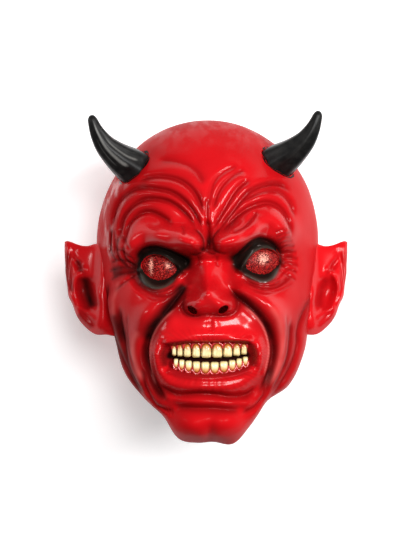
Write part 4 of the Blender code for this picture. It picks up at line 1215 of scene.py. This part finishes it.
def latex_finish():
    """Red latex, clouded, airbrushed and hand-painted, with painted shade in the creases, the mouth and on
    the sides and painted highlights on the rims of the folds; glossy on the face and dull inside.
    """
    f = Finish("glossy red latex")
    cloud = f.noise(14, 3)
    fine = f.noise(90, 5)
    sprayed_shade = f.painted("spray_and_shade") * (0.8 + 0.4 * fine)
    mouth, throat, hollow = f.painted("mouth"), f.painted("throat"), f.painted("hollow")
    black, lid, gloss_and_painted_light, lips = f.painted("eye_black"), f.painted("lid"), f.painted("gloss_and_painted_light"), f.painted("lips")
    red = f.mix(cloud.over(0.3, 0.7), BRIGHT_RED, FULL_RED)
    # Painted shade: darker red where the gloss is less, on the sides and the left
    red = f.mix((1 - gloss_and_painted_light) * 0.35, red, SIDE_SHADE_RED)
    # Airbrush and painted shade
    red = f.mix(sprayed_shade, red, SPRAY_AND_SHADE_BROWN)
    # Painted highlights
    red = f.mix(f.painted("painted_highlight") * (0.6 + 0.8 * fine), red, HIGHLIGHT_RED)
    # Painted shade inside the mouth
    red = f.mix(mouth * 0.8, red, MOUTH_SHADE_RED)
    red = f.mix(throat, red, THROAT_BLACK)
    red = f.mix(black, red, EYE_BLACK)
    # Lid rims: their own grey and painted highlight
    red = f.mix(black * lid * 0.85, red, LID_GREY_AND_HIGHLIGHT)
    red = f.mix((f.painted("horn_paint") + 0.6 * f.noise(110, 2)).over(1.04, 1.08), red, FOOT_BLACK)
    red = f.mix(hollow.over(0.5, 0.9), red, INSIDE_RED)
    grain = f.noise(420, 3)
    across = f.node("ShaderNodeSeparateXYZ", None, f.where(), output=0) - LIP_LINES_AT[0]
    upward = f.node("ShaderNodeSeparateXYZ", None, f.where(), output=1) - LIP_LINES_AT[1]
    angle = f.maths("ARCTAN2", upward * LIP_LINES_STRETCH, across)
    lines = f.maths("SINE", angle * LIP_LINES + 5 * fine)
    rough = 0.33 + 0.12 * cloud - 0.06 * black + 0.15 * mouth + 0.3 * hollow
    rough = rough + 0.1 * (1 - gloss_and_painted_light) + 0.15 * sprayed_shade
    smears = f.noise(55, 3, (2.2, 0.5, 1)).over(0.47, 0.62)
    dull = (1 - hollow) * (1 - mouth) * (1 - 0.85 * black * (1 - lid))
    coat = (0.02 + 0.5 * gloss_and_painted_light * (1 - sprayed_shade) + 0.8 * f.painted("temple") * smears) * dull
    skin_like = f.bump(fine, 0.1, 0.001)
    return f.set(Base_Color=red, Roughness=rough, Coat_Weight=coat, Coat_Roughness=0.18,
                 Specular_IOR_Level=0.04, Specular_Tint=(1, 0.45, 0.42),
                 Normal=f.bump(grain + 2.0 * lines * lips, 0.16, 0.0004, skin_like))


def gum_finish():
    """Paler, wet red, blotched."""
    f = Finish("wet red gums")
    red = f.mix(f.noise(120, 3).over(0.3, 0.7), (0.36, 0.010, 0.012), (0.50, 0.03, 0.03))
    return f.set(Base_Color=red, Roughness=0.22, Coat_Weight=0.5, Coat_Roughness=0.08)


def horn_finish():
    """Near-black rubber, with painted grey highlights in streaks."""
    f = Finish("black rubber horn")
    grain = f.noise(160, 5)
    fleck = f.noise(700, 3)
    shade = f.mix(grain.over(0.35, 0.7), (0.003, 0.003, 0.003), (0.009, 0.0085, 0.008))
    # Painted highlights: grey streaks
    painted_sheen = (f.painted("painted_sheen") * (0.75 + 0.5 * fleck)).over(0.2, 1.1)
    shade = f.mix(painted_sheen, shade, (0.13, 0.128, 0.12))
    return f.set(Base_Color=shade, Roughness=0.36 + 0.12 * grain, Specular_IOR_Level=0.2,
                 Normal=f.bump(grain, 0.2, 0.0005))


def glitter_finish():
    """Red flakes of many tones, with painted glints in a few places: lighter flakes that glow faintly."""
    f = Finish("red glitter")
    flakes = f.flakes(2200)
    level = f.node("ShaderNodeSeparateColor", None, flakes, output=0)
    tilt = f.node("ShaderNodeSeparateColor", None, flakes, output=1)
    red = f.mix(level.over(0.3, 1.0), (0.030, 0.001, 0.002), (0.50, 0.012, 0.010))
    # Painted glints: lighter flakes that glow where the glitter is lit
    painted_glint = (f.painted("painted_glint") * 0.9 + level - 0.85).over(0.0, 0.6)
    red = f.mix(painted_glint, red, (0.85, 0.34, 0.26))
    return f.set(Base_Color=red, Roughness=0.6 - 0.15 * tilt, Coat_Weight=0.02, Coat_Roughness=0.2,
                 Specular_IOR_Level=0.08, Emission_Color=f.mix(painted_glint, (0, 0, 0), (0.22, 0.060, 0.044)),
                 Emission_Strength=1.0)


def tooth_finish():
    """Cream, stained orange-brown towards the gum."""
    f = Finish("cream teeth")
    root = f.painted("root")
    stain = f.noise(220, 4)
    cream = f.mix(stain.over(0.35, 0.75), (0.82, 0.70, 0.38), (0.74, 0.56, 0.25))
    cream = f.mix((root + 0.3 * stain).over(0.4, 1.05), cream, (0.50, 0.17, 0.025))
    return f.set(Base_Color=cream, Roughness=0.32, Coat_Weight=0.3, Coat_Roughness=0.1)


def floor_finish():
    """Plain, pale and faintly clouded."""
    f = Finish("pale floor")
    cloud = f.noise(3, 3)
    pale = f.mix(cloud, (0.88, 0.88, 0.88), (0.9, 0.9, 0.9))
    return f.set(Base_Color=pale, Roughness=0.8, Emission_Color=pale, Emission_Strength=0.42)


def dress(obj, node):
    """Shades a finished piece smooth, hangs it on the root body, and hides the solid it stands for."""
    obj.data.shade_smooth()
    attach(obj, "root")
    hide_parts(node)


# Stage, in metres, and the studio's even light
FLOOR_SIZE = 6
STUDIO_LIGHT = 0.12
# The camera looks straight down. The scale of the picture holds at the face plane, REACH metres below it
IMAGE = (420, 560)
MM_PER_PIXEL = 0.875
VIEW_MIDDLE = (0.0035, -0.002)
FACE_PLANE = 0.12
REACH = 3.0
SENSOR = 36

latex, horn_black, glitter, cream = latex_finish(), horn_finish(), glitter_finish(), tooth_finish()

skin = new_object("skin", head_mesh(), latex)
for side in ("left", "right"):
    join_or_cut(skin, new_object("ear", ear_mesh(side)), "UNION")
join_or_cut(skin, new_object("cavity", cavity_mesh()), "DIFFERENCE")
join_or_cut(skin, new_object("neck_block", neck_block()), "DIFFERENCE")
for side in ("left", "right"):
    join_or_cut(skin, new_object("pocket", lens_pocket_mesh(side)), "DIFFERENCE")
    join_or_cut(skin, new_object("opening", eye_opening_mesh(side)), "DIFFERENCE")
    join_or_cut(skin, new_object("nostril", nostril_mesh(side)), "DIFFERENCE")
    join_or_cut(skin, new_object("socket", horn_mesh("socket", side, SOCKET_GRID, GAP)), "DIFFERENCE")
    horn = new_object(f"{side}_horn", horn_mesh("horn", side, HORN_GRID), horn_black)
    dress(horn, f"horn_{side}")
    eye = new_object(f"{side}_eye", lens_mesh(side), glitter)
    dress(eye, f"eye_lens_{side}")
dress(skin, "mask_skin")
for name in ("upper_teeth", "lower_teeth"):
    dress(new_object(name, tooth_row(name, name == "upper_teeth"), cream), "mask_skin")
dress(new_object("gums", gum_mesh(), gum_finish()), "mask_skin")

bpy.ops.mesh.primitive_grid_add(x_subdivisions=4, y_subdivisions=4, size=FLOOR_SIZE)
floor = bpy.context.active_object
floor.name = "floor"
floor.data.materials.append(floor_finish())

scene = bpy.context.scene
scene.view_settings.view_transform = "Standard"
world = bpy.data.worlds.new("studio")
scene.world = world
world.use_nodes = True
world.node_tree.nodes["Background"].inputs["Color"].default_value = (1, 1, 1, 1)
world.node_tree.nodes["Background"].inputs["Strength"].default_value = STUDIO_LIGHT


def light(name, at, size, power):
    """A soft rectangle of light aimed at the mask."""
    lamp = bpy.data.lights.new(name, "AREA")
    lamp.shape = "RECTANGLE"
    lamp.size, lamp.size_y, lamp.energy = size[0], size[1], power
    obj = bpy.data.objects.new(name, lamp)
    scene.collection.objects.link(obj)
    obj.location = at
    obj.rotation_euler = (Vector((0, 0, FACE_PLANE)) - Vector(at)).to_track_quat("-Z", "Y").to_euler()


light("front", (0.12, 0.34, 2.0), (0.6, 0.6), 26)
light("key", (0.95, 0.35, 1.35), (0.5, 0.5), 24)
light("rim", (-1.2, 0.4, 0.6), (0.12, 0.4), 3)

camera = bpy.data.cameras.new("camera")
camera.sensor_fit = "VERTICAL"
camera.sensor_width = SENSOR
camera.sensor_height = SENSOR
camera.lens = SENSOR * REACH / (IMAGE[1] * MM_PER_PIXEL * MM)
camera.clip_end = 20
viewer = bpy.data.objects.new("camera", camera)
scene.collection.objects.link(viewer)
viewer.location = (*VIEW_MIDDLE, FACE_PLANE + REACH)
scene.camera = viewer
